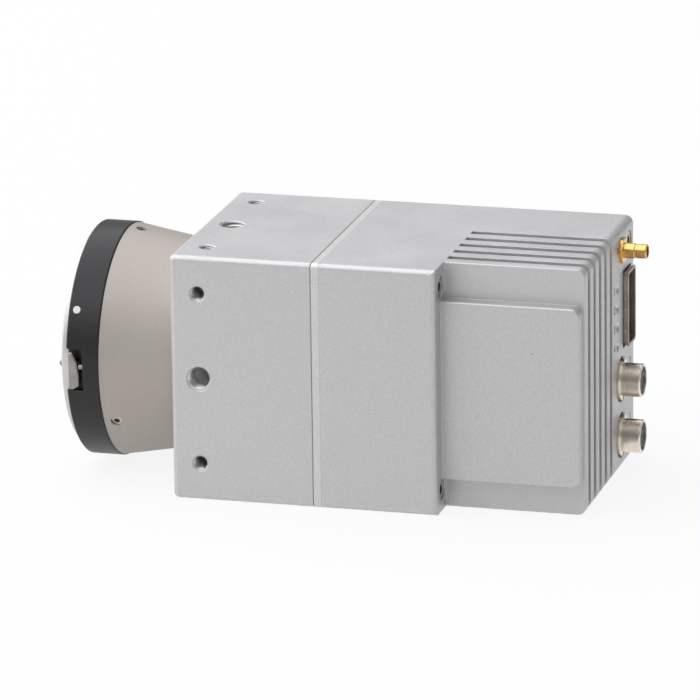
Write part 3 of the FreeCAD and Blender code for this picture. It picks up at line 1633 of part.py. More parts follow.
bodies = [
    make_front_housing(),
    make_spacer_plate(),
    make_rear_housing(),
    make_housing_screws("side_housing_screws", screw_side,
                        step - S.counterbore_depth + S.screw_head_height),
    make_housing_screws("rear_housing_screws", -screw_side,
                        rear_plane - S.counterbore_depth + S.screw_head_height),
    make_lens_adapter_cone(),
    make_cone_set_screws(),
    make_mount_ring(),
    make_index_dot(),
    make_bayonet_flange(),
    make_flange_screws(),
    make_light_baffle(),
    make_release_lever(),
    make_lock_pin(),
    make_lever_guide_pin(),
    make_release_spring(),
    make_cover_glass(),
    make_glass_retainer(),
    make_image_sensor(),
    make_sensor_window(),
    make_sensor_board(),
    make_sensor_standoffs(),
    make_sensor_board_screws(),
    make_sensor_connector(),
    make_processor_connector(),
    make_sensor_flex_cable(),
    make_processor_board(),
    make_processor_chips(),
    make_thermal_pad(),
    make_processor_standoffs(),
    make_board_spacers(),
    make_board_screws(),
    make_io_board(),
    make_indicator_board(),
    make_status_leds(),
    make_led_light_pipes(),
    make_fibre_cage(),
    make_cage_connector(),
    make_connector_shell("upper_connector_shell", upper_plug_height),
    make_connector_shell("lower_connector_shell", lower_plug_height),
    make_connector_inserts(),
    make_connector_contacts(),
    make_connector_nuts(),
    make_coax_jack(),
    make_coax_nut(),
    make_coax_dielectric(),
    make_coax_centre_pin(),
]

doc.recompute()


def check_volume_steps(body):
    """Each cut must take material away and each addition must bring some."""
    previous = 0.0
    for feature in body.Group:
        if feature.TypeId == "Sketcher::SketchObject":
            continue
        volume = feature.Shape.Volume
        cuts = feature.TypeId in ("PartDesign::Pocket", "PartDesign::Groove", "PartDesign::Hole")
        if cuts and volume > previous - 1e-6:
            raise RuntimeError("%s cuts nothing in %s" % (feature.Name, body.Label))
        if not cuts and abs(volume - previous) < 1e-6:
            raise RuntimeError("%s changes nothing in %s" % (feature.Name, body.Label))
        previous = volume


for item in doc.Objects:
    if "Invalid" in item.State or "Error" in item.State:
        raise RuntimeError("%s did not build: %s" % (item.Name, item.State))
for body in bodies:
    if body.Shape.isNull() or not body.Shape.isValid():
        raise RuntimeError("%s has no valid shape" % body.Label)
    check_volume_steps(body)

os.makedirs("parts", exist_ok=True)
for body in bodies:
    body.Shape.exportStep("parts/%s.step" % body.Label)
    box = body.Shape.BoundBox
    print("%-24s solids %d  volume %9.1f  x %.2f..%.2f  y %.2f..%.2f  z %.2f..%.2f" % (
        body.Label, len(body.Shape.Solids), body.Shape.Volume,
        box.XMin, box.XMax, box.YMin, box.YMax, box.ZMin, box.ZMax))
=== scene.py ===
# %% [markdown]
# A square aluminium camera for machine vision. The metal blocks, the adapter and the sockets
# come from the CAD model as a fixed frame, so this script has two jobs: it gives every one of
# them a finish, and it adds what is too fine for the solids: threads, a coiled spring, printed
# digits, the bright walls of the lamp wells and the bumps on the module cage. The frame is
# loaded first, because every place below is measured from it.

import math

import bmesh
import bpy
from mathutils import Matrix, Vector


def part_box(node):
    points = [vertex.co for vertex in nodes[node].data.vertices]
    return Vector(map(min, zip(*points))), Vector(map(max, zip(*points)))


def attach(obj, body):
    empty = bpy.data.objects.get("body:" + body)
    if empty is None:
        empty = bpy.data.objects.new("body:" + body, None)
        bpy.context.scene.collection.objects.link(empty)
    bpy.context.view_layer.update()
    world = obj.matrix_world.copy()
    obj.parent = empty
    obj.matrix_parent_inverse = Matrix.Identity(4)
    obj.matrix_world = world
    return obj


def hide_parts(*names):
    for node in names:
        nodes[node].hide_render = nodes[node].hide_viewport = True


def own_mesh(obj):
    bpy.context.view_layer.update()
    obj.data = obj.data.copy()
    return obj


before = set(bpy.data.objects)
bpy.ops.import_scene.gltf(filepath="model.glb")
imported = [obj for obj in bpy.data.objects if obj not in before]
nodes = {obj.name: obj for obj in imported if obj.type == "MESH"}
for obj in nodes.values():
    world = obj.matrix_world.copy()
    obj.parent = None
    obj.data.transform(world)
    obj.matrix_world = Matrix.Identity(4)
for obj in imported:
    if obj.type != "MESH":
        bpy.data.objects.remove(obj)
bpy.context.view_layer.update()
scene = bpy.context.scene
MM = 0.001
FULL_TURN = 2 * math.pi
print("CAD nodes:", len(nodes))

# %% [markdown]
# Most details sit on a few planes of the camera. Reading them from the nodes' boxes keeps the
# details in place when the solids change: the near side is +X, the lens looks along -Y.

# %% Planes of the camera
front_low, front_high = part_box("front_housing")
rear_low, rear_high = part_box("rear_housing")
front_plane = front_low.y
rear_plane = rear_high.y
near_side = front_high.x
far_side = front_low.x
top_side = front_high.z
lens_height = (front_low.z + front_high.z) / 2
print("front plane", round(front_plane, 5), "rear plane", round(rear_plane, 5))

# %% [markdown]
# The photograph was taken from far away with a long lens, from the near side, a little above
# and behind. A long lens keeps the box's edges almost parallel. The camera is placed by its
# spot, its aim and a slight roll, and the field of view is a little over six degrees.

# %% Camera
camera_spot = Vector((1.588942, 0.438597, 0.519343))
camera_aim = Vector((-0.924308, -0.256469, -0.282623))
camera_roll = math.radians(-0.781)
field_of_view = math.radians(6.1495)

camera_data = bpy.data.cameras.new("photo_camera")
camera_data.sensor_width = 36
camera_data.angle = field_of_view
camera_data.clip_start = 0.05
camera_data.clip_end = 30
camera = bpy.data.objects.new("photo_camera", camera_data)
turn = camera_aim.to_track_quat("-Z", "Y").to_matrix().to_4x4()
camera.matrix_world = Matrix.Translation(camera_spot) @ turn @ Matrix.Rotation(camera_roll, 4, "Z")
scene.collection.objects.link(camera)
scene.camera = camera
scene.view_settings.view_transform = "Standard"
print("camera", tuple(round(value, 3) for value in camera.location))

# %% [markdown]
# Small helpers keep the material cells short. One starts a material and hands back its node
# tree and its Principled shader, one adds a node with settings, and others mix two colours,
# remap a value or turn it into a bump. Where a helper takes a colour or a number, it takes
# a socket of another node as well.

# %% Node helpers


def start_material(name):
    """A new material with its tree and its Principled shader."""
    material = bpy.data.materials.new(name)
    material.use_nodes = True
    tree = material.node_tree
    return material, tree, tree.nodes["Principled BSDF"]


def add_node(tree, kind, **settings):
    """A node with its plain settings."""
    node = tree.nodes.new(kind)
    for key, value in settings.items():
        setattr(node, key, value)
    return node


def set_inputs(node, **values):
    """Numbers and colours on a node's sockets; an underscore stands for a space."""
    for key, value in values.items():
        node.inputs[key.replace("_", " ")].default_value = value


def start_group(name, inputs, outputs):
    """A shader node group; inputs carry their defaults, and a Normal comes out as a vector."""
    group = bpy.data.node_groups.new(name, "ShaderNodeTree")
    for socket, default in inputs.items():
        made = group.interface.new_socket(socket, in_out="INPUT", socket_type="NodeSocketFloat")
        made.default_value = default
    for socket in outputs:
        kind = "NodeSocketVector" if socket == "Normal" else "NodeSocketFloat"
        group.interface.new_socket(socket, in_out="OUTPUT", socket_type=kind)
    start = group.nodes.new("NodeGroupInput")
    end = group.nodes.new("NodeGroupOutput")
    return group, start, end


def place_group(tree, group, **values):
    """A group node in a material, with its own values."""
    node = add_node(tree, "ShaderNodeGroup", node_tree=group)
    set_inputs(node, **values)
    return node


def remap(tree, source, low, high, from_low=0.0, from_high=1.0):
    """A clamped range map from one socket to new limits."""
    node = add_node(tree, "ShaderNodeMapRange")
    set_inputs(node, From_Min=from_low, From_Max=from_high, To_Min=low, To_Max=high)
    tree.links.new(source, node.inputs["Value"])
    return node.outputs["Result"]


def blend_colours(tree, factor, first, second):
    """A colour mix; each side is a socket or a plain colour."""
    node = add_node(tree, "ShaderNodeMix", data_type="RGBA")
    factor_in, first_in, second_in = (node.inputs[index] for index in (0, 6, 7))
    tree.links.new(factor, factor_in)
    for socket, side in ((first_in, first), (second_in, second)):
        if hasattr(side, "is_linked"):
            tree.links.new(side, socket)
        else:
            socket.default_value = (*side, 1.0)
    return node.outputs[2]


def calculate(tree, operation, first, second):
    """A math node on one socket and a second socket or a plain number."""
    node = add_node(tree, "ShaderNodeMath", operation=operation)
    tree.links.new(first, node.inputs[0])
    if hasattr(second, "is_linked"):
        tree.links.new(second, node.inputs[1])
    else:
        node.inputs[1].default_value = second
    return node.outputs["Value"]


def shades(colour, spread):
    """A darker and a lighter shade of a colour, both within the range of a colour."""
    dark = [value * (1 - spread) for value in colour]
    light = [min(1.0, value * (1 + spread)) for value in colour]
    return dark, light


def add_bump(tree, shader, height, distance, strength, normal=None):
    """Fine relief from a height socket; distance is in metres, on top of an edge normal."""
    bump = add_node(tree, "ShaderNodeBump")
    set_inputs(bump, Strength=strength, Distance=distance)
    tree.links.new(height, bump.inputs["Height"])
    if normal is not None:
        tree.links.new(normal, bump.inputs["Normal"])
    tree.links.new(bump.outputs["Normal"], shader.inputs["Normal"])


print("node helpers ready")

# %% [markdown]
# Bead blasting leaves a fine, even sparkle of tiny dents. Seen from an arm's length it is a
# soft grain. A noise under half a millimetre across gives that grain, and a second, broader
# noise gives the faint cloudiness that anodising leaves. Both are read from Object
# coordinates, so the pattern sticks to the piece.

# %% Group: blasted grain
grain_group, start, end = start_group("blasted_grain", {"Grain": 2600.0, "Cloud": 45.0},
                                      ["Grain", "Cloud"])
place = add_node(grain_group, "ShaderNodeTexCoord")
fine = add_node(grain_group, "ShaderNodeTexNoise", noise_dimensions="3D")
set_inputs(fine, Detail=3.0, Roughness=0.62)
broad = add_node(grain_group, "ShaderNodeTexNoise", noise_dimensions="3D")
set_inputs(broad, Detail=4.0, Roughness=0.5)
for texture, socket in ((fine, "Grain"), (broad, "Cloud")):
    grain_group.links.new(place.outputs["Object"], texture.inputs["Vector"])
    grain_group.links.new(start.outputs[socket], texture.inputs["Scale"])
    spread = remap(grain_group, texture.outputs["Fac"], 0.0, 1.0, 0.3, 0.7)
    grain_group.links.new(spread, end.inputs[socket])
print("group", grain_group.name)

# %% [markdown]
# No milled edge is truly sharp: it is broken by a few tenths of a millimetre, which catches
# the light as a thin bright line. The Bevel node looks round each edge and gives the rounded
# normal, which goes out for the shading. Where it leaves the true normal there is an edge
# nearby, so the mask rises as their dot product falls. A noise breaks the mask up, since no
# edge wears evenly. The finishes use this mask to paint the edges brighter than the flats,
# partly as rubbing and partly as a painted highlight.

# %% Group: rubbed edges and painted edge highlight
edge_wear_highlight_group, start, end = start_group("edge_rubbing_and_painted_highlight", {"Width": 0.5 * MM, "Break Up": 700.0},
                                     ["Mask", "Normal"])
rounded = add_node(edge_wear_highlight_group, "ShaderNodeBevel", samples=6)
edge_wear_highlight_group.links.new(start.outputs["Width"], rounded.inputs["Radius"])
edge_wear_highlight_group.links.new(rounded.outputs["Normal"], end.inputs["Normal"])
true_normal = add_node(edge_wear_highlight_group, "ShaderNodeNewGeometry")
alike = add_node(edge_wear_highlight_group, "ShaderNodeVectorMath", operation="DOT_PRODUCT")
edge_wear_highlight_group.links.new(rounded.outputs["Normal"], alike.inputs[0])
edge_wear_highlight_group.links.new(true_normal.outputs["True Normal"], alike.inputs[1])
place = add_node(edge_wear_highlight_group, "ShaderNodeTexCoord")
patch = add_node(edge_wear_highlight_group, "ShaderNodeTexNoise", noise_dimensions="3D")
edge_wear_highlight_group.links.new(place.outputs["Object"], patch.inputs["Vector"])
edge_wear_highlight_group.links.new(start.outputs["Break Up"], patch.inputs["Scale"])
# the mask of the edges that are painted brighter: partly rubbing, partly a painted highlight
near_edge = remap(edge_wear_highlight_group, alike.outputs["Value"], 1.0, 0.0, 0.8, 0.995)
patchy_break_up = remap(edge_wear_highlight_group, patch.outputs["Fac"], 0.35, 1.0, 0.35, 0.65)
worn_and_highlit = calculate(edge_wear_highlight_group, "MULTIPLY", near_edge, patchy_break_up)
edge_wear_highlight_group.links.new(worn_and_highlit, end.inputs["Mask"])
print("group", edge_wear_highlight_group.name)

# %% [markdown]
# Turned pieces keep the track of the lathe tool: rings round their axis. On a wall along the
# axis the rings step with the station, and on a face they step with the radius, so one value,
# station plus radius, draws both. A subtraction puts the piece's own axis at zero.

# %% Group: lathe rings
ring_group, start, end = start_group(
    "lathe_rings", {"Axis X": 0.0, "Axis Z": lens_height, "Fineness": 4200.0}, ["Rings"])
place = add_node(ring_group, "ShaderNodeTexCoord")
axis_point = add_node(ring_group, "ShaderNodeCombineXYZ")
ring_group.links.new(start.outputs["Axis X"], axis_point.inputs["X"])
ring_group.links.new(start.outputs["Axis Z"], axis_point.inputs["Z"])
centred = add_node(ring_group, "ShaderNodeVectorMath", operation="SUBTRACT")
ring_group.links.new(place.outputs["Object"], centred.inputs[0])
ring_group.links.new(axis_point.outputs["Vector"], centred.inputs[1])
flat = add_node(ring_group, "ShaderNodeVectorMath", operation="MULTIPLY")
flat.inputs[1].default_value = (1.0, 0.0, 1.0)
ring_group.links.new(centred.outputs["Vector"], flat.inputs[0])
radius = add_node(ring_group, "ShaderNodeVectorMath", operation="LENGTH")
ring_group.links.new(flat.outputs["Vector"], radius.inputs[0])
split = add_node(ring_group, "ShaderNodeSeparateXYZ")
ring_group.links.new(centred.outputs["Vector"], split.inputs["Vector"])
travel = calculate(ring_group, "ADD", radius.outputs["Value"], split.outputs["Y"])
track = add_node(ring_group, "ShaderNodeTexNoise", noise_dimensions="1D")
set_inputs(track, Detail=2.0, Roughness=0.7)
ring_group.links.new(travel, track.inputs["W"])
ring_group.links.new(start.outputs["Fineness"], track.inputs["Scale"])
ring_group.links.new(remap(ring_group, track.outputs["Fac"], 0.0, 1.0, 0.3, 0.7),
                     end.inputs["Rings"])
print("group", ring_group.name)

# %% [markdown]
# A few dark specks of dust lie on any real surface. Each cell of a Voronoi texture has a
# point, and only the cells whose random colour is high enough show theirs.

# %% Group: dust specks
dust_group, start, end = start_group("dust_specks", {"Spacing": 130.0, "Size": 0.05}, ["Mask"])
place = add_node(dust_group, "ShaderNodeTexCoord")
cells = add_node(dust_group, "ShaderNodeTexVoronoi", voronoi_dimensions="3D")
dust_group.links.new(place.outputs["Object"], cells.inputs["Vector"])
dust_group.links.new(start.outputs["Spacing"], cells.inputs["Scale"])
chosen = add_node(dust_group, "ShaderNodeSeparateColor")
dust_group.links.new(cells.outputs["Color"], chosen.inputs["Color"])
speck = calculate(dust_group, "LESS_THAN", cells.outputs["Distance"], start.outputs["Size"])
dusty_cell = calculate(dust_group, "GREATER_THAN", chosen.outputs["Red"], 0.45)
both = calculate(dust_group, "MULTIPLY", speck, dusty_cell)
dust_group.links.new(both, end.inputs["Mask"])
print("group", dust_group.name)

# %% [markdown]
# The housings are milled, bead blasted and clear anodised: grey, satin, with a soft grain.
# The colour carries the grain, the cloud and the edges, which are painted brighter partly by
# rubbing and partly as a painted highlight; the roughness follows the cloud, and a very
# shallow bump of the same grain breaks up the highlights.

# %% Finish: blasted aluminium
dust_colour = (0.12, 0.11, 0.10)
white = (1.0, 1.0, 1.0)
black = (0.0, 0.0, 0.0)


def make_blasted_aluminium(name, colour, edge_wear_highlight_colour, roughness, metallic=0.65, contrast=0.11,
                           grain_scale=2600.0):
    """Anodised, bead-blasted aluminium."""
    material, tree, shader = start_material(name)
    grain = place_group(tree, grain_group, Grain=grain_scale, Cloud=45.0)
    edges = place_group(tree, edge_wear_highlight_group, Width=0.4 * MM, Break_Up=900.0)
    dust = place_group(tree, dust_group, Spacing=130.0, Size=0.03)
    grained = blend_colours(tree, grain.outputs["Grain"], *shades(colour, contrast))
    cloud = remap(tree, grain.outputs["Cloud"], 0.0, 0.05)
    clouded = blend_colours(tree, cloud, grained, white)
    # edges painted brighter: partly rubbing, partly a painted highlight
    rubbed_and_highlit = blend_colours(tree, edges.outputs["Mask"], clouded, edge_wear_highlight_colour)
    dusty = blend_colours(tree, dust.outputs["Mask"], rubbed_and_highlit, dust_colour)
    tree.links.new(dusty, shader.inputs["Base Color"])
    tree.links.new(remap(tree, grain.outputs["Cloud"], roughness - 0.04, roughness + 0.05),
                   shader.inputs["Roughness"])
    set_inputs(shader, Metallic=metallic)
    add_bump(tree, shader, grain.outputs["Grain"], 0.02 * MM, 0.5, edges.outputs["Normal"])
    return material


# each finish's second colour is that of its edges: rubbing and a painted highlight
housing_finish = make_blasted_aluminium("housing_aluminium", (0.57, 0.565, 0.57),
                                        (0.62, 0.62, 0.62), 0.46)
spacer_finish = make_blasted_aluminium("spacer_aluminium", (0.645, 0.64, 0.625),
                                       (0.70, 0.70, 0.69), 0.46)
cone_finish = make_blasted_aluminium("cone_aluminium", (0.42, 0.38, 0.34),
                                     (0.54, 0.50, 0.46), 0.54, metallic=0.42, contrast=0.08,
                                     grain_scale=3000.0)
print("finishes", housing_finish.name, spacer_finish.name, cone_finish.name)

# %% [markdown]
# Turned metal takes the lathe rings into its colour, its roughness and its bump. The same
# maker serves the black ring, the plated plate, the sockets and the gold coax jack, with
# another axis, colour and fineness for each. The cone is turned too, but blasted afterwards,
# which wipes the rings out, so it has the blasted finish in a warmer grey.

# %% Finish: turned metal


def make_turned_metal(name, colour, roughness, metallic, axis=(0.0, lens_height),
                      fineness=4200.0, spread=0.10, relief=0.008 * MM, edge_wear_highlight_colour=None):
    """Metal or anodised metal with the rings of a lathe round its own axis."""
    material, tree, shader = start_material(name)
    rings = place_group(tree, ring_group, Axis_X=axis[0], Axis_Z=axis[1], Fineness=fineness)
    grain = place_group(tree, grain_group, Grain=3000.0, Cloud=70.0)
    edges = place_group(tree, edge_wear_highlight_group, Width=0.25 * MM, Break_Up=1500.0)
    ringed = blend_colours(tree, rings.outputs["Rings"], *shades(colour, spread))
    amount = remap(tree, grain.outputs["Grain"], 0.0, 0.06)
    grained = blend_colours(tree, amount, ringed, black)
    # edges painted brighter than the metal: partly rubbing, partly a painted highlight
    edge = edge_wear_highlight_colour or [min(1.0, value * 1.35) for value in colour]
    rubbed_and_highlit = blend_colours(tree, edges.outputs["Mask"], grained, edge)
    tree.links.new(rubbed_and_highlit, shader.inputs["Base Color"])
    tree.links.new(remap(tree, grain.outputs["Cloud"], roughness - 0.04, roughness + 0.06),
                   shader.inputs["Roughness"])
    set_inputs(shader, Metallic=metallic)
    add_bump(tree, shader, rings.outputs["Rings"], relief, 0.5, edges.outputs["Normal"])
    return material


def middle_of(node):
    """X and Z of the middle of a node's box."""
    low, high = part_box(node)
    return (low.x + high.x) / 2, (low.z + high.z) / 2


# the edge colours given here paint a highlight as well as rubbing
black_ring_finish = make_turned_metal("black_anodised", (0.012, 0.012, 0.013), 0.40, 0.2,
                                      fineness=3000.0, spread=0.12,
                                      edge_wear_highlight_colour=(0.06, 0.06, 0.06))
plate_finish = make_turned_metal("bayonet_plate", (0.66, 0.655, 0.645), 0.40, 0.7)
jack_finish = make_turned_metal("gold_plate", (0.80, 0.50, 0.17), 0.22, 1.0,
                                axis=middle_of("coax_jack"), fineness=4000.0, spread=0.06,
                                relief=0.003 * MM)
shell_finishes = {}
for place_name in ("upper", "lower"):
    node_name = place_name + "_connector_shell"
    shell_finishes[node_name] = make_turned_metal(
        place_name + "_connector_nickel", (0.82, 0.735, 0.635), 0.26, 1.0,
        axis=middle_of(node_name), fineness=3200.0, spread=0.08, relief=0.003 * MM)
baffle_finish = make_turned_metal("black_paint", (0.012, 0.012, 0.012), 0.75, 0.0,
                                  spread=0.2, edge_wear_highlight_colour=(0.03, 0.03, 0.03))
print("turned finishes", len(shell_finishes) + 4)

# %% [markdown]
# Screws, lever and cage are plain steel: a metal whose colour changes in patches, with a
# little grain and edges painted brighter, partly by rubbing and partly as a painted highlight.
# The cage's nickel has tarnished to a warm brown-grey. The threads are cut after the
# blasting, so they show bare metal, brighter than the housing.

# %% Finish: steel


def make_steel(name, colour, roughness, patch=300.0, spread=0.14, edge=None):
    """Steel or plated sheet with patches, grain and edges painted brighter, partly by rubbing and
    partly as a highlight.
    """
    material, tree, shader = start_material(name)
    grain = place_group(tree, grain_group, Grain=5000.0, Cloud=patch)
    edges = place_group(tree, edge_wear_highlight_group, Width=0.15 * MM, Break_Up=2500.0)
    patched = blend_colours(tree, grain.outputs["Cloud"], *shades(colour, spread))
    # edges painted brighter: partly rubbing, partly a painted highlight
    bright = edge or [min(1.0, value * 1.5) for value in colour]
    rubbed_and_highlit = blend_colours(tree, edges.outputs["Mask"], patched, bright)
    tree.links.new(rubbed_and_highlit, shader.inputs["Base Color"])
    tree.links.new(remap(tree, grain.outputs["Grain"], roughness - 0.06, roughness + 0.08),
                   shader.inputs["Roughness"])
    set_inputs(shader, Metallic=1.0)
    add_bump(tree, shader, grain.outputs["Grain"], 0.006 * MM, 0.4, edges.outputs["Normal"])
    return material


# the edge colours below paint a highlight as well as rubbing
screw_finish = make_steel("screw_steel", (0.46, 0.43, 0.39), 0.30)
lever_finish = make_steel("lever_steel", (0.34, 0.31, 0.29), 0.42, patch=500.0,
                          edge=(0.72, 0.66, 0.62))
spring_finish = make_steel("spring_steel", (0.55, 0.54, 0.52), 0.28)
thread_finish = make_steel("tapped_aluminium", (0.60, 0.59, 0.58), 0.32, patch=900.0)
cage_finish = make_steel("cage_steel", (0.38, 0.335, 0.29), 0.42, patch=180.0, spread=0.22,
                         edge=(0.50, 0.44, 0.37))
post_finish = make_steel("standoff_brass", (0.72, 0.60, 0.38), 0.30)
print("steel finishes", 6)

# %% [markdown]
# Plastics, boards and soft parts are not metal, so their colour does most of the work. One
# maker gives a moulded surface with fine grain, one more gives the woven glass cloth that
# shows through a circuit board's green mask.

# %% Finish: plastics and boards


def make_moulded(name, colour, roughness, relief=0.01 * MM):
    """Moulded plastic, rubber, paint or ceramic with a fine grain."""
    material, tree, shader = start_material(name)
    grain = place_group(tree, grain_group, Grain=1800.0, Cloud=90.0)
    toned = blend_colours(tree, grain.outputs["Cloud"], *shades(colour, 0.10))
    tree.links.new(toned, shader.inputs["Base Color"])
    tree.links.new(remap(tree, grain.outputs["Grain"], roughness - 0.05, roughness + 0.07),
                   shader.inputs["Roughness"])
    add_bump(tree, shader, grain.outputs["Grain"], relief, 0.5)
    return material


def make_board(name, colour):
    """Green solder mask over woven glass cloth."""
    material, tree, shader = start_material(name)
    place = add_node(tree, "ShaderNodeTexCoord")
    weaves = []
    for direction in ("Y", "Z"):
        weave = add_node(tree, "ShaderNodeTexWave", wave_type="BANDS",
                         bands_direction=direction)
        set_inputs(weave, Scale=900.0, Distortion=1.0, Detail=1.0)
        tree.links.new(place.outputs["Object"], weave.inputs["Vector"])
        weaves.append(weave.outputs["Fac"])
    cloth = calculate(tree, "MULTIPLY", *weaves)
    shade = [value * 0.75 for value in colour]
    tree.links.new(blend_colours(tree, cloth, shade, colour), shader.inputs["Base Color"])
    tree.links.new(remap(tree, cloth, 0.22, 0.34), shader.inputs["Roughness"])
    add_bump(tree, shader, cloth, 0.015 * MM, 0.4)
    return material


enamel_finish = make_moulded("white_enamel", (0.70, 0.70, 0.69), 0.40, relief=0.004 * MM)
insert_finish = make_moulded("insert_plastic", (0.055, 0.058, 0.065), 0.45)
connector_finish = make_moulded("connector_plastic", (0.03, 0.03, 0.033), 0.5)
dielectric_finish = make_moulded("white_dielectric", (0.80, 0.78, 0.73), 0.4)
ceramic_finish = make_moulded("ceramic", (0.70, 0.68, 0.62), 0.55)
chip_finish = make_moulded("chip_black", (0.022, 0.022, 0.024), 0.5)
rubber_finish = make_moulded("thermal_rubber", (0.30, 0.34, 0.42), 0.7)
flex_finish = make_moulded("flex_film", (0.45, 0.20, 0.04), 0.3)
lamp_finish = make_moulded("lamp_clear", (0.06, 0.06, 0.065), 0.25, relief=0.002 * MM)
ink_finish = make_moulded("printed_ink", (0.015, 0.015, 0.017), 0.5, relief=0.002 * MM)
board_finish = make_board("board_green", (0.02, 0.14, 0.06))
print("moulded finishes", 10, "and", board_finish.name)

# %% [markdown]
# The cover glass is a coated filter, and the sensor has a clear window. A Principled shader
# with full transmission, a slight tint and low roughness is enough for both, with a faint
# noise in the roughness for wipe marks.

# %% Finish: glass


def make_glass(name, colour, roughness):
    """Clear or tinted optical glass."""
    material, tree, shader = start_material(name)
    grain = place_group(tree, grain_group, Grain=900.0, Cloud=30.0)
    tree.links.new(remap(tree, grain.outputs["Cloud"], roughness, roughness + 0.04),
                   shader.inputs["Roughness"])
    shader.inputs["Base Color"].default_value = (*colour, 1.0)
    shader.inputs["Transmission Weight"].default_value = 1.0
    shader.inputs["IOR"].default_value = 1.5
    return material


filter_finish = make_glass("filter_glass", (0.80, 0.95, 0.92), 0.02)
window_finish = make_glass("clear_glass", (0.96, 0.98, 0.98), 0.01)
print("glass finishes", 2)

# %% [markdown]
# Now each CAD node gets its finish. The node's object keeps its mesh and its place, and only
# its material slots change.

# %% Dress the CAD nodes
finish_of = {
    "front_housing": housing_finish,
    "rear_housing": housing_finish,
    "spacer_plate": spacer_finish,
    "lens_adapter_cone": cone_finish,
    "mount_ring": black_ring_finish,
    "glass_retainer": black_ring_finish,
    "bayonet_flange": plate_finish,
    "flange_screws": plate_finish,
    "light_baffle": baffle_finish,
    "index_dot": enamel_finish,
    "release_lever": lever_finish,
    "lock_pin": lever_finish,
    "lever_guide_pin": lever_finish,
    "release_spring": spring_finish,
    "side_housing_screws": screw_finish,
    "rear_housing_screws": screw_finish,
    "cone_set_screws": screw_finish,
    "sensor_board_screws": screw_finish,
    "board_screws": screw_finish,
    "cover_glass": filter_finish,
    "sensor_window": window_finish,
    "image_sensor": ceramic_finish,
    "sensor_board": board_finish,
    "processor_board": board_finish,
    "io_board": board_finish,
    "indicator_board": board_finish,
    "sensor_standoffs": post_finish,
    "processor_standoffs": post_finish,
    "board_spacers": post_finish,
    "sensor_connector": connector_finish,
    "processor_connector": connector_finish,
    "cage_connector": connector_finish,
    "sensor_flex_cable": flex_finish,
    "processor_chips": chip_finish,
    "thermal_pad": rubber_finish,
    "status_leds": lamp_finish,
    "led_light_pipes": lamp_finish,
    "fibre_cage": cage_finish,
    "upper_connector_shell": shell_finishes["upper_connector_shell"],
    "lower_connector_shell": shell_finishes["lower_connector_shell"],
    "connector_inserts": insert_finish,
    "connector_contacts": jack_finish,
    "connector_nuts": shell_finishes["upper_connector_shell"],
    "coax_jack": jack_finish,
    "coax_nut": jack_finish,
    "coax_centre_pin": jack_finish,
    "coax_dielectric": dielectric_finish,
}
for name, finish in finish_of.items():
    mesh = nodes[name].data
    mesh.materials.clear()
    mesh.materials.append(finish)
undressed = sorted(set(nodes) - set(finish_of))
print("dressed", len(finish_of), "undressed", undressed)

# %% [markdown]
# Three small helpers for new pieces. The first turns a mesh into an object that rides on a
# body and names its finish slot. The second makes that mesh from a bmesh, with its normals
# facing outwards, and shades it smooth, but an edge sharper than 38 degrees stays crisp. The
# third draws a closed outline, which the spin operator then carries round.

# %% Piece helpers
merge_distance = 0.0005 * MM
crisp_angle = math.radians(38)


def place_piece(name, mesh, material, body):
    """An object at the origin that rides on a body."""
    mesh.materials.clear()
    mesh.materials.append(material)
    piece = bpy.data.objects.new(name, mesh)
    scene.collection.objects.link(piece)
    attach(piece, body)
    return piece


def finish_piece(mesh_data, name, material, body):
    """Turn a bmesh into a smooth piece with crisp edges."""
    bmesh.ops.remove_doubles(mesh_data, verts=mesh_data.verts, dist=merge_distance)
    bmesh.ops.recalc_face_normals(mesh_data, faces=mesh_data.faces)
    mesh = bpy.data.meshes.new(name)
    mesh_data.to_mesh(mesh)
    mesh_data.free()
    for polygon in mesh.polygons:
        polygon.use_smooth = True
    mesh.set_sharp_from_angle(angle=crisp_angle)
    return place_piece(name, mesh, material, body)


def draw_outline(mesh_data, corners):
    """A closed wire outline through some corners, as geometry for the spin operator."""
    verts = [mesh_data.verts.new(corner) for corner in corners]
    ends = verts[1:] + verts[:1]
    edges = [mesh_data.edges.new(pair) for pair in zip(verts, ends)]
    return verts + edges


print("piece helpers ready")

# %% [markdown]
# The tapped holes are plain cylinders in the solids. A thread is a ridge that climbs the
# wall: a small closed outline is spun round the hole's axis while it moves along it by one
# pitch a turn. The spin operator does both at once. The ridge starts a little outside the
# hole, and a plane then trims it at the countersink, as the tool does in the real hole.

# %% Threads in the tapped holes
steps_per_turn = 28
root_sink = 0.03 * MM  # the ridge's root lies this far inside the wall
ridge_share = 0.40  # the height of the ridge, as a share of the pitch
root_half_share = 0.44  # half the width of the root, and of the crest, in the same way
crest_half_share = 0.06
start_share = 0.6  # how far outside the mouth the ridge starts


def add_thread(mesh_data, mouth, axis, radius, pitch, length):
    """One helical ridge inside a hole, from its mouth inwards."""
    side = axis.orthogonal().normalized()
    ridge = -pitch * ridge_share
    profile = ((root_sink, -root_half_share), (ridge, -crest_half_share),
               (ridge, crest_half_share), (root_sink, root_half_share))
    outline = draw_outline(mesh_data, [
        mouth + side * (radius + reach) - axis * (pitch * (along - start_share))
        for reach, along in profile])
    turns = int(length / pitch) + 1
    bmesh.ops.spin(mesh_data, geom=outline, cent=mouth, axis=axis,
                   dvec=-axis * (pitch / steps_per_turn), angle=FULL_TURN * turns,
                   steps=steps_per_turn * turns, use_merge=False)
    return turns


tapped_station = front_plane + 7.6 * MM
quarter_inch = {"radius": 3.175 * MM, "pitch": 1.27 * MM, "length": 5.1 * MM}
four_mm = {"radius": 2.0 * MM, "pitch": 0.7 * MM, "length": 6.3 * MM}
outer_reach = 23.0 * MM  # from the middle hole to the outer ones
rim_depth = 0.28 * MM
across, up = Vector((1, 0, 0)), Vector((0, 0, 1))
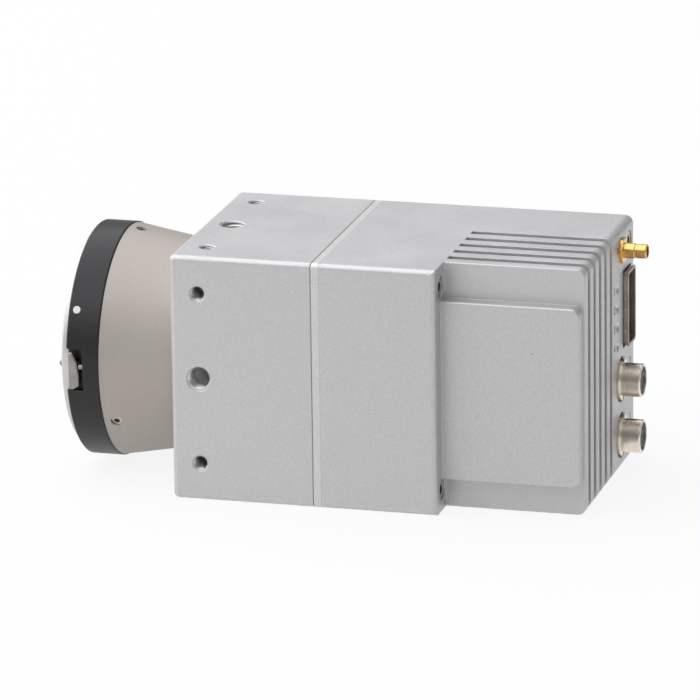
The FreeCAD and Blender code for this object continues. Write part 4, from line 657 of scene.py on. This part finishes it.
# for each face: its middle hole, the way it faces and the way its row of holes runs
faces = {
    "near": (Vector((near_side, tapped_station, lens_height)), across, up),
    "far": (Vector((far_side, tapped_station, lens_height)), -across, up),
    "top": (Vector((0, tapped_station, top_side)), up, across),
    "bottom": (Vector((0, tapped_station, 0)), -up, across),
}
for face, (centre, outwards, row) in faces.items():
    threads = bmesh.new()
    mouth = centre - outwards * rim_depth
    total = add_thread(threads, mouth, outwards, **quarter_inch)
    for side in (-1, 1):
        total += add_thread(threads, mouth + row * (side * outer_reach), outwards, **four_mm)
    everything = threads.verts[:] + threads.edges[:] + threads.faces[:]
    bmesh.ops.bisect_plane(threads, geom=everything, plane_no=outwards, plane_co=mouth,
                           clear_outer=True)
    open_edges = [edge for edge in threads.edges if edge.is_boundary]
    capped = bmesh.ops.edgeloop_fill(threads, edges=open_edges)
    finish_piece(threads, face + "_threads", thread_finish, "camera")
    print(face, "thread turns:", total, "ends closed:", len(capped["faces"]))

# %% [markdown]
# The release spring is pressed together when the lever moves. A CAD node keeps its length, so
# this coil stands for it. A ring of ten corners is spun round the spring's axis while it
# climbs.

# %% Release spring
spring_low, spring_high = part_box("release_spring")
wire_radius = 0.15 * MM
coil_pitch = 0.9 * MM
wire_corners = 10
coil_steps_per_turn = 24
coil_length = spring_high.y - spring_low.y
coil_radius = (spring_high.z - spring_low.z) / 2 - wire_radius
coil_start = Vector(((spring_low.x + spring_high.x) / 2, spring_low.y + wire_radius,
                     (spring_low.z + spring_high.z) / 2))
coil_climb = coil_length - 2 * wire_radius
coil_turns = coil_climb / coil_pitch
coil_steps = round(coil_turns * coil_steps_per_turn)
coil = bmesh.new()
ring = bmesh.ops.create_circle(coil, segments=wire_corners, radius=wire_radius)
bmesh.ops.translate(coil, verts=ring["verts"], vec=coil_start + Vector((coil_radius, 0, 0)))
bmesh.ops.spin(coil, geom=coil.verts[:] + coil.edges[:], cent=coil_start, axis=(0, 1, 0),
               dvec=(0, coil_climb / coil_steps, 0), angle=FULL_TURN * coil_turns,
               steps=coil_steps, use_merge=False)
open_edges = [edge for edge in coil.edges if edge.is_boundary]
wire_ends = bmesh.ops.edgeloop_fill(coil, edges=open_edges)
spring_coil = finish_piece(coil, "release_coil", spring_finish, "camera")
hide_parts("release_spring")
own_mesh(spring_coil)
print("spring turns", round(coil_turns, 2), "wire ends closed", len(wire_ends["faces"]))

# %% [markdown]
# The rear face is marked with plain digits beside the lamps, the round sockets and the coax
# jack. A text curve is made a mesh first, then laid on the face: its X runs to the far side,
# as read from behind, and its Y runs up.

# %% Printed digits
size_to_height = 1.4  # the font's size over the height of a digit
ink_thickness = 0.01 * MM
ink_lift = 0.012 * MM
stroke_growth = 0.08 * MM  # thickens the strokes of the plain font


def print_digit(name, digit, x, z, height):
    """A thin printed digit on the rear face, centred on a point."""
    curve = bpy.data.curves.new(name, "FONT")
    curve.body = digit
    curve.size = height * size_to_height
    curve.align_x = "CENTER"
    curve.align_y = "CENTER"
    curve.extrude = ink_thickness
    curve.offset = stroke_growth
    source = bpy.data.objects.new(name + "_text", curve)
    scene.collection.objects.link(source)
    bpy.context.view_layer.update()
    mesh = bpy.data.meshes.new_from_object(source)
    bpy.data.objects.remove(source)
    mesh.transform(Matrix(((-1, 0, 0, x), (0, 0, 1, rear_plane + ink_lift), (0, 1, 0, z),
                           (0, 0, 0, 1))))
    mesh.name = name
    place_piece(name, mesh, ink_finish, "camera")


lamp_count = 4
lamp_pitch = 5.24 * MM
pipe_radius = 0.81 * MM  # of the light pipe that ends in each lamp's well
lamp_low, lamp_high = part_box("led_light_pipes")
lamp_x = (lamp_low.x + lamp_high.x) / 2
first_lamp = lamp_high.z - pipe_radius
for number in range(lamp_count):
    label = str(number + 1)
    print_digit("lamp_digit_" + label, label, lamp_x + 3.7 * MM,
                first_lamp - number * lamp_pitch, 2.0 * MM)
socket_digits = {"1": "lower_connector_shell", "2": "upper_connector_shell"}
for digit, shell in socket_digits.items():
    shell_x, shell_z = middle_of(shell)
    print_digit("socket_digit_" + digit, digit, shell_x - 9.9 * MM, shell_z + 2.4 * MM,
                1.9 * MM)
coax_digit_x, coax_digit_z = -13.5 * MM, 61.0 * MM
print_digit("coax_digit", "3", coax_digit_x, coax_digit_z, 1.7 * MM)
print("digits", lamp_count + len(socket_digits) + 1)

# %% [markdown]
# The module cage is held against its opening by a row of small pressed bumps on each side
# wall. A bump is a sphere scaled almost flat, half of it inside the sheet, so only the dome
# shows. All ten are one mesh, because they share a finish and a body.

# %% Bumps on the module cage
cage_low_corner, cage_high_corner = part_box("fibre_cage")
cage_middle = (cage_low_corner.z + cage_high_corner.z) / 2
lip_flare = 0.3 * MM
bump_radius = 0.3 * MM
bump_pitch = 2.96 * MM
bump_reach = 0.36 * MM  # how far the row stands out of the rear face
flattening = (0.3, 1.0, 1.0)
walls = (cage_high_corner.x - lip_flare, cage_low_corner.x + lip_flare)
steps = range(-2, 3)
bumps = bmesh.new()
for wall_x in walls:
    for step in steps:
        bump = bmesh.ops.create_uvsphere(bumps, u_segments=14, v_segments=10,
                                         radius=bump_radius)
        bmesh.ops.scale(bumps, vec=flattening, verts=bump["verts"])
        spot = (wall_x, rear_plane + bump_reach, cage_middle + step * bump_pitch)
        bmesh.ops.translate(bumps, verts=bump["verts"], vec=spot)
finish_piece(bumps, "cage_bumps", spring_finish, "camera")
print("bumps on the cage", len(walls) * len(steps), "about", round(cage_middle, 4))

# %% [markdown]
# Each lamp sits in a small countersunk well. The countersink leaves its sloping wall bare and
# bright, and from the side that wall is the light crescent beside the dark lens. The solids
# have the well, so only a thin bright lining is added: a slanted bar outline, spun once round
# the lamp's axis. The wall slopes at 45 degrees, so its radius shrinks as fast as it deepens.

# %% Bright walls of the lamp wells
hole_radius = (lamp_high.x - lamp_low.x) / 2
well_steps = 40
# distances in millimetres, outwards from the hole and inwards from the rear face
lining_profile = ((0.87, 0.02), (0.81, 0.02), (0.01, 0.82), (0.07, 0.82))
wells = bmesh.new()
for number in range(lamp_count):
    centre = Vector((lamp_x, rear_plane, first_lamp - number * lamp_pitch))
    outline = draw_outline(wells, [
        centre + Vector((hole_radius + reach * MM, -depth * MM, 0))
        for reach, depth in lining_profile])
    bmesh.ops.spin(wells, geom=outline, cent=centre, axis=(0, 1, 0), angle=FULL_TURN,
                   steps=well_steps, use_merge=True)
finish_piece(wells, "lamp_well_walls", thread_finish, "camera")
print("wells", lamp_count, "hole radius", round(hole_radius, 5))

# %% [markdown]
# The studio: a floor that the camera stands on and a world, both white to the lens. One mask
# serves both. It is one for rays from the lens and for rays through glass, a share for rays
# off a glossy surface, and zero for all others. Where it is one the floor and the world show
# their white, and elsewhere the floor is plain and matt and the world is a softer light. The
# floor's white is still only a share of it, so that the shadow shows.

# %% Floor and world
floor_half_width = 9.0
floor_shade = 0.78
floor_white_share = 0.88
floor_gloss_share = 0.95
world_gloss_share = 0.1
world_strength = 0.32


def seen_as_white(tree, gloss_share):
    """The mask of the rays that see white."""
    ray = add_node(tree, "ShaderNodeLightPath")
    mirrored = calculate(tree, "MULTIPLY", ray.outputs["Is Glossy Ray"], gloss_share)
    watched = calculate(tree, "MAXIMUM", ray.outputs["Is Camera Ray"], mirrored)
    return calculate(tree, "MAXIMUM", watched, ray.outputs["Is Transmission Ray"])


def mix_to_output(tree, kind, mask, plain, white_side):
    """Two shaders mixed by a mask, on the output node of a material or a world."""
    mix = add_node(tree, "ShaderNodeMixShader")
    tree.links.new(mask, mix.inputs["Fac"])
    tree.links.new(plain, mix.inputs[1])
    tree.links.new(white_side, mix.inputs[2])
    tree.links.new(mix.outputs["Shader"], add_node(tree, kind).inputs["Surface"])


floor_mesh = bmesh.new()
bmesh.ops.create_grid(floor_mesh, x_segments=2, y_segments=2, size=floor_half_width)
floor_data = bpy.data.meshes.new("floor")
floor_mesh.to_mesh(floor_data)
floor_mesh.free()
floor = bpy.data.objects.new("floor", floor_data)
scene.collection.objects.link(floor)

floor_material = bpy.data.materials.new("studio_floor")
floor_material.use_nodes = True
tree = floor_material.node_tree
tree.nodes.clear()
matt = add_node(tree, "ShaderNodeBsdfDiffuse")
matt.inputs["Color"].default_value = (floor_shade, floor_shade, floor_shade, 1.0)
glow = add_node(tree, "ShaderNodeEmission")
glow.inputs["Strength"].default_value = 1.0
share = calculate(tree, "MULTIPLY", seen_as_white(tree, floor_gloss_share),
                  floor_white_share)
mix_to_output(tree, "ShaderNodeOutputMaterial", share, matt.outputs["BSDF"],
              glow.outputs["Emission"])
floor_data.materials.append(floor_material)

world = bpy.data.worlds.new("studio")
scene.world = world
world.use_nodes = True
tree = world.node_tree
tree.nodes.clear()
soft_light = add_node(tree, "ShaderNodeBackground")
soft_light.inputs["Color"].default_value = (1.0, 1.0, 1.0, 1.0)
soft_light.inputs["Strength"].default_value = world_strength
backdrop = add_node(tree, "ShaderNodeBackground")
backdrop.inputs["Strength"].default_value = 1.0
mix_to_output(tree, "ShaderNodeOutputWorld", seen_as_white(tree, world_gloss_share),
              soft_light.outputs["Background"], backdrop.outputs["Background"])
print("world strength", world_strength)

# %% [markdown]
# Two area lamps shape the block. The large one above and before the lens gives most of the
# light, so the top is the brightest side and the rear face, which looks away from it, is one
# of the darkest. The small one lifts the near side a little. The floor and the world fill in
# the rest.

# %% Lamps


def add_lamp(name, spot, aim, size, watts, colour=white):
    """A square area lamp that points at a spot."""
    data = bpy.data.lights.new(name, "AREA")
    data.shape = "SQUARE"
    data.size = size
    data.energy = watts
    data.color = colour
    lamp = bpy.data.objects.new(name, data)
    lamp.location = spot
    lamp.rotation_euler = (Vector(aim) - Vector(spot)).to_track_quat("-Z", "Y").to_euler()
    scene.collection.objects.link(lamp)


block_middle = (0.0, 0.0, lens_height)
cool_white = (0.965, 0.975, 1.0)
add_lamp("top_softbox", (0.0, -0.9, 1.3), block_middle, 4.0, 83.0, cool_white)
add_lamp("near_softbox", (1.3, -0.6, 1.1), block_middle, 1.5, 1.5)
print("lamps", 2)
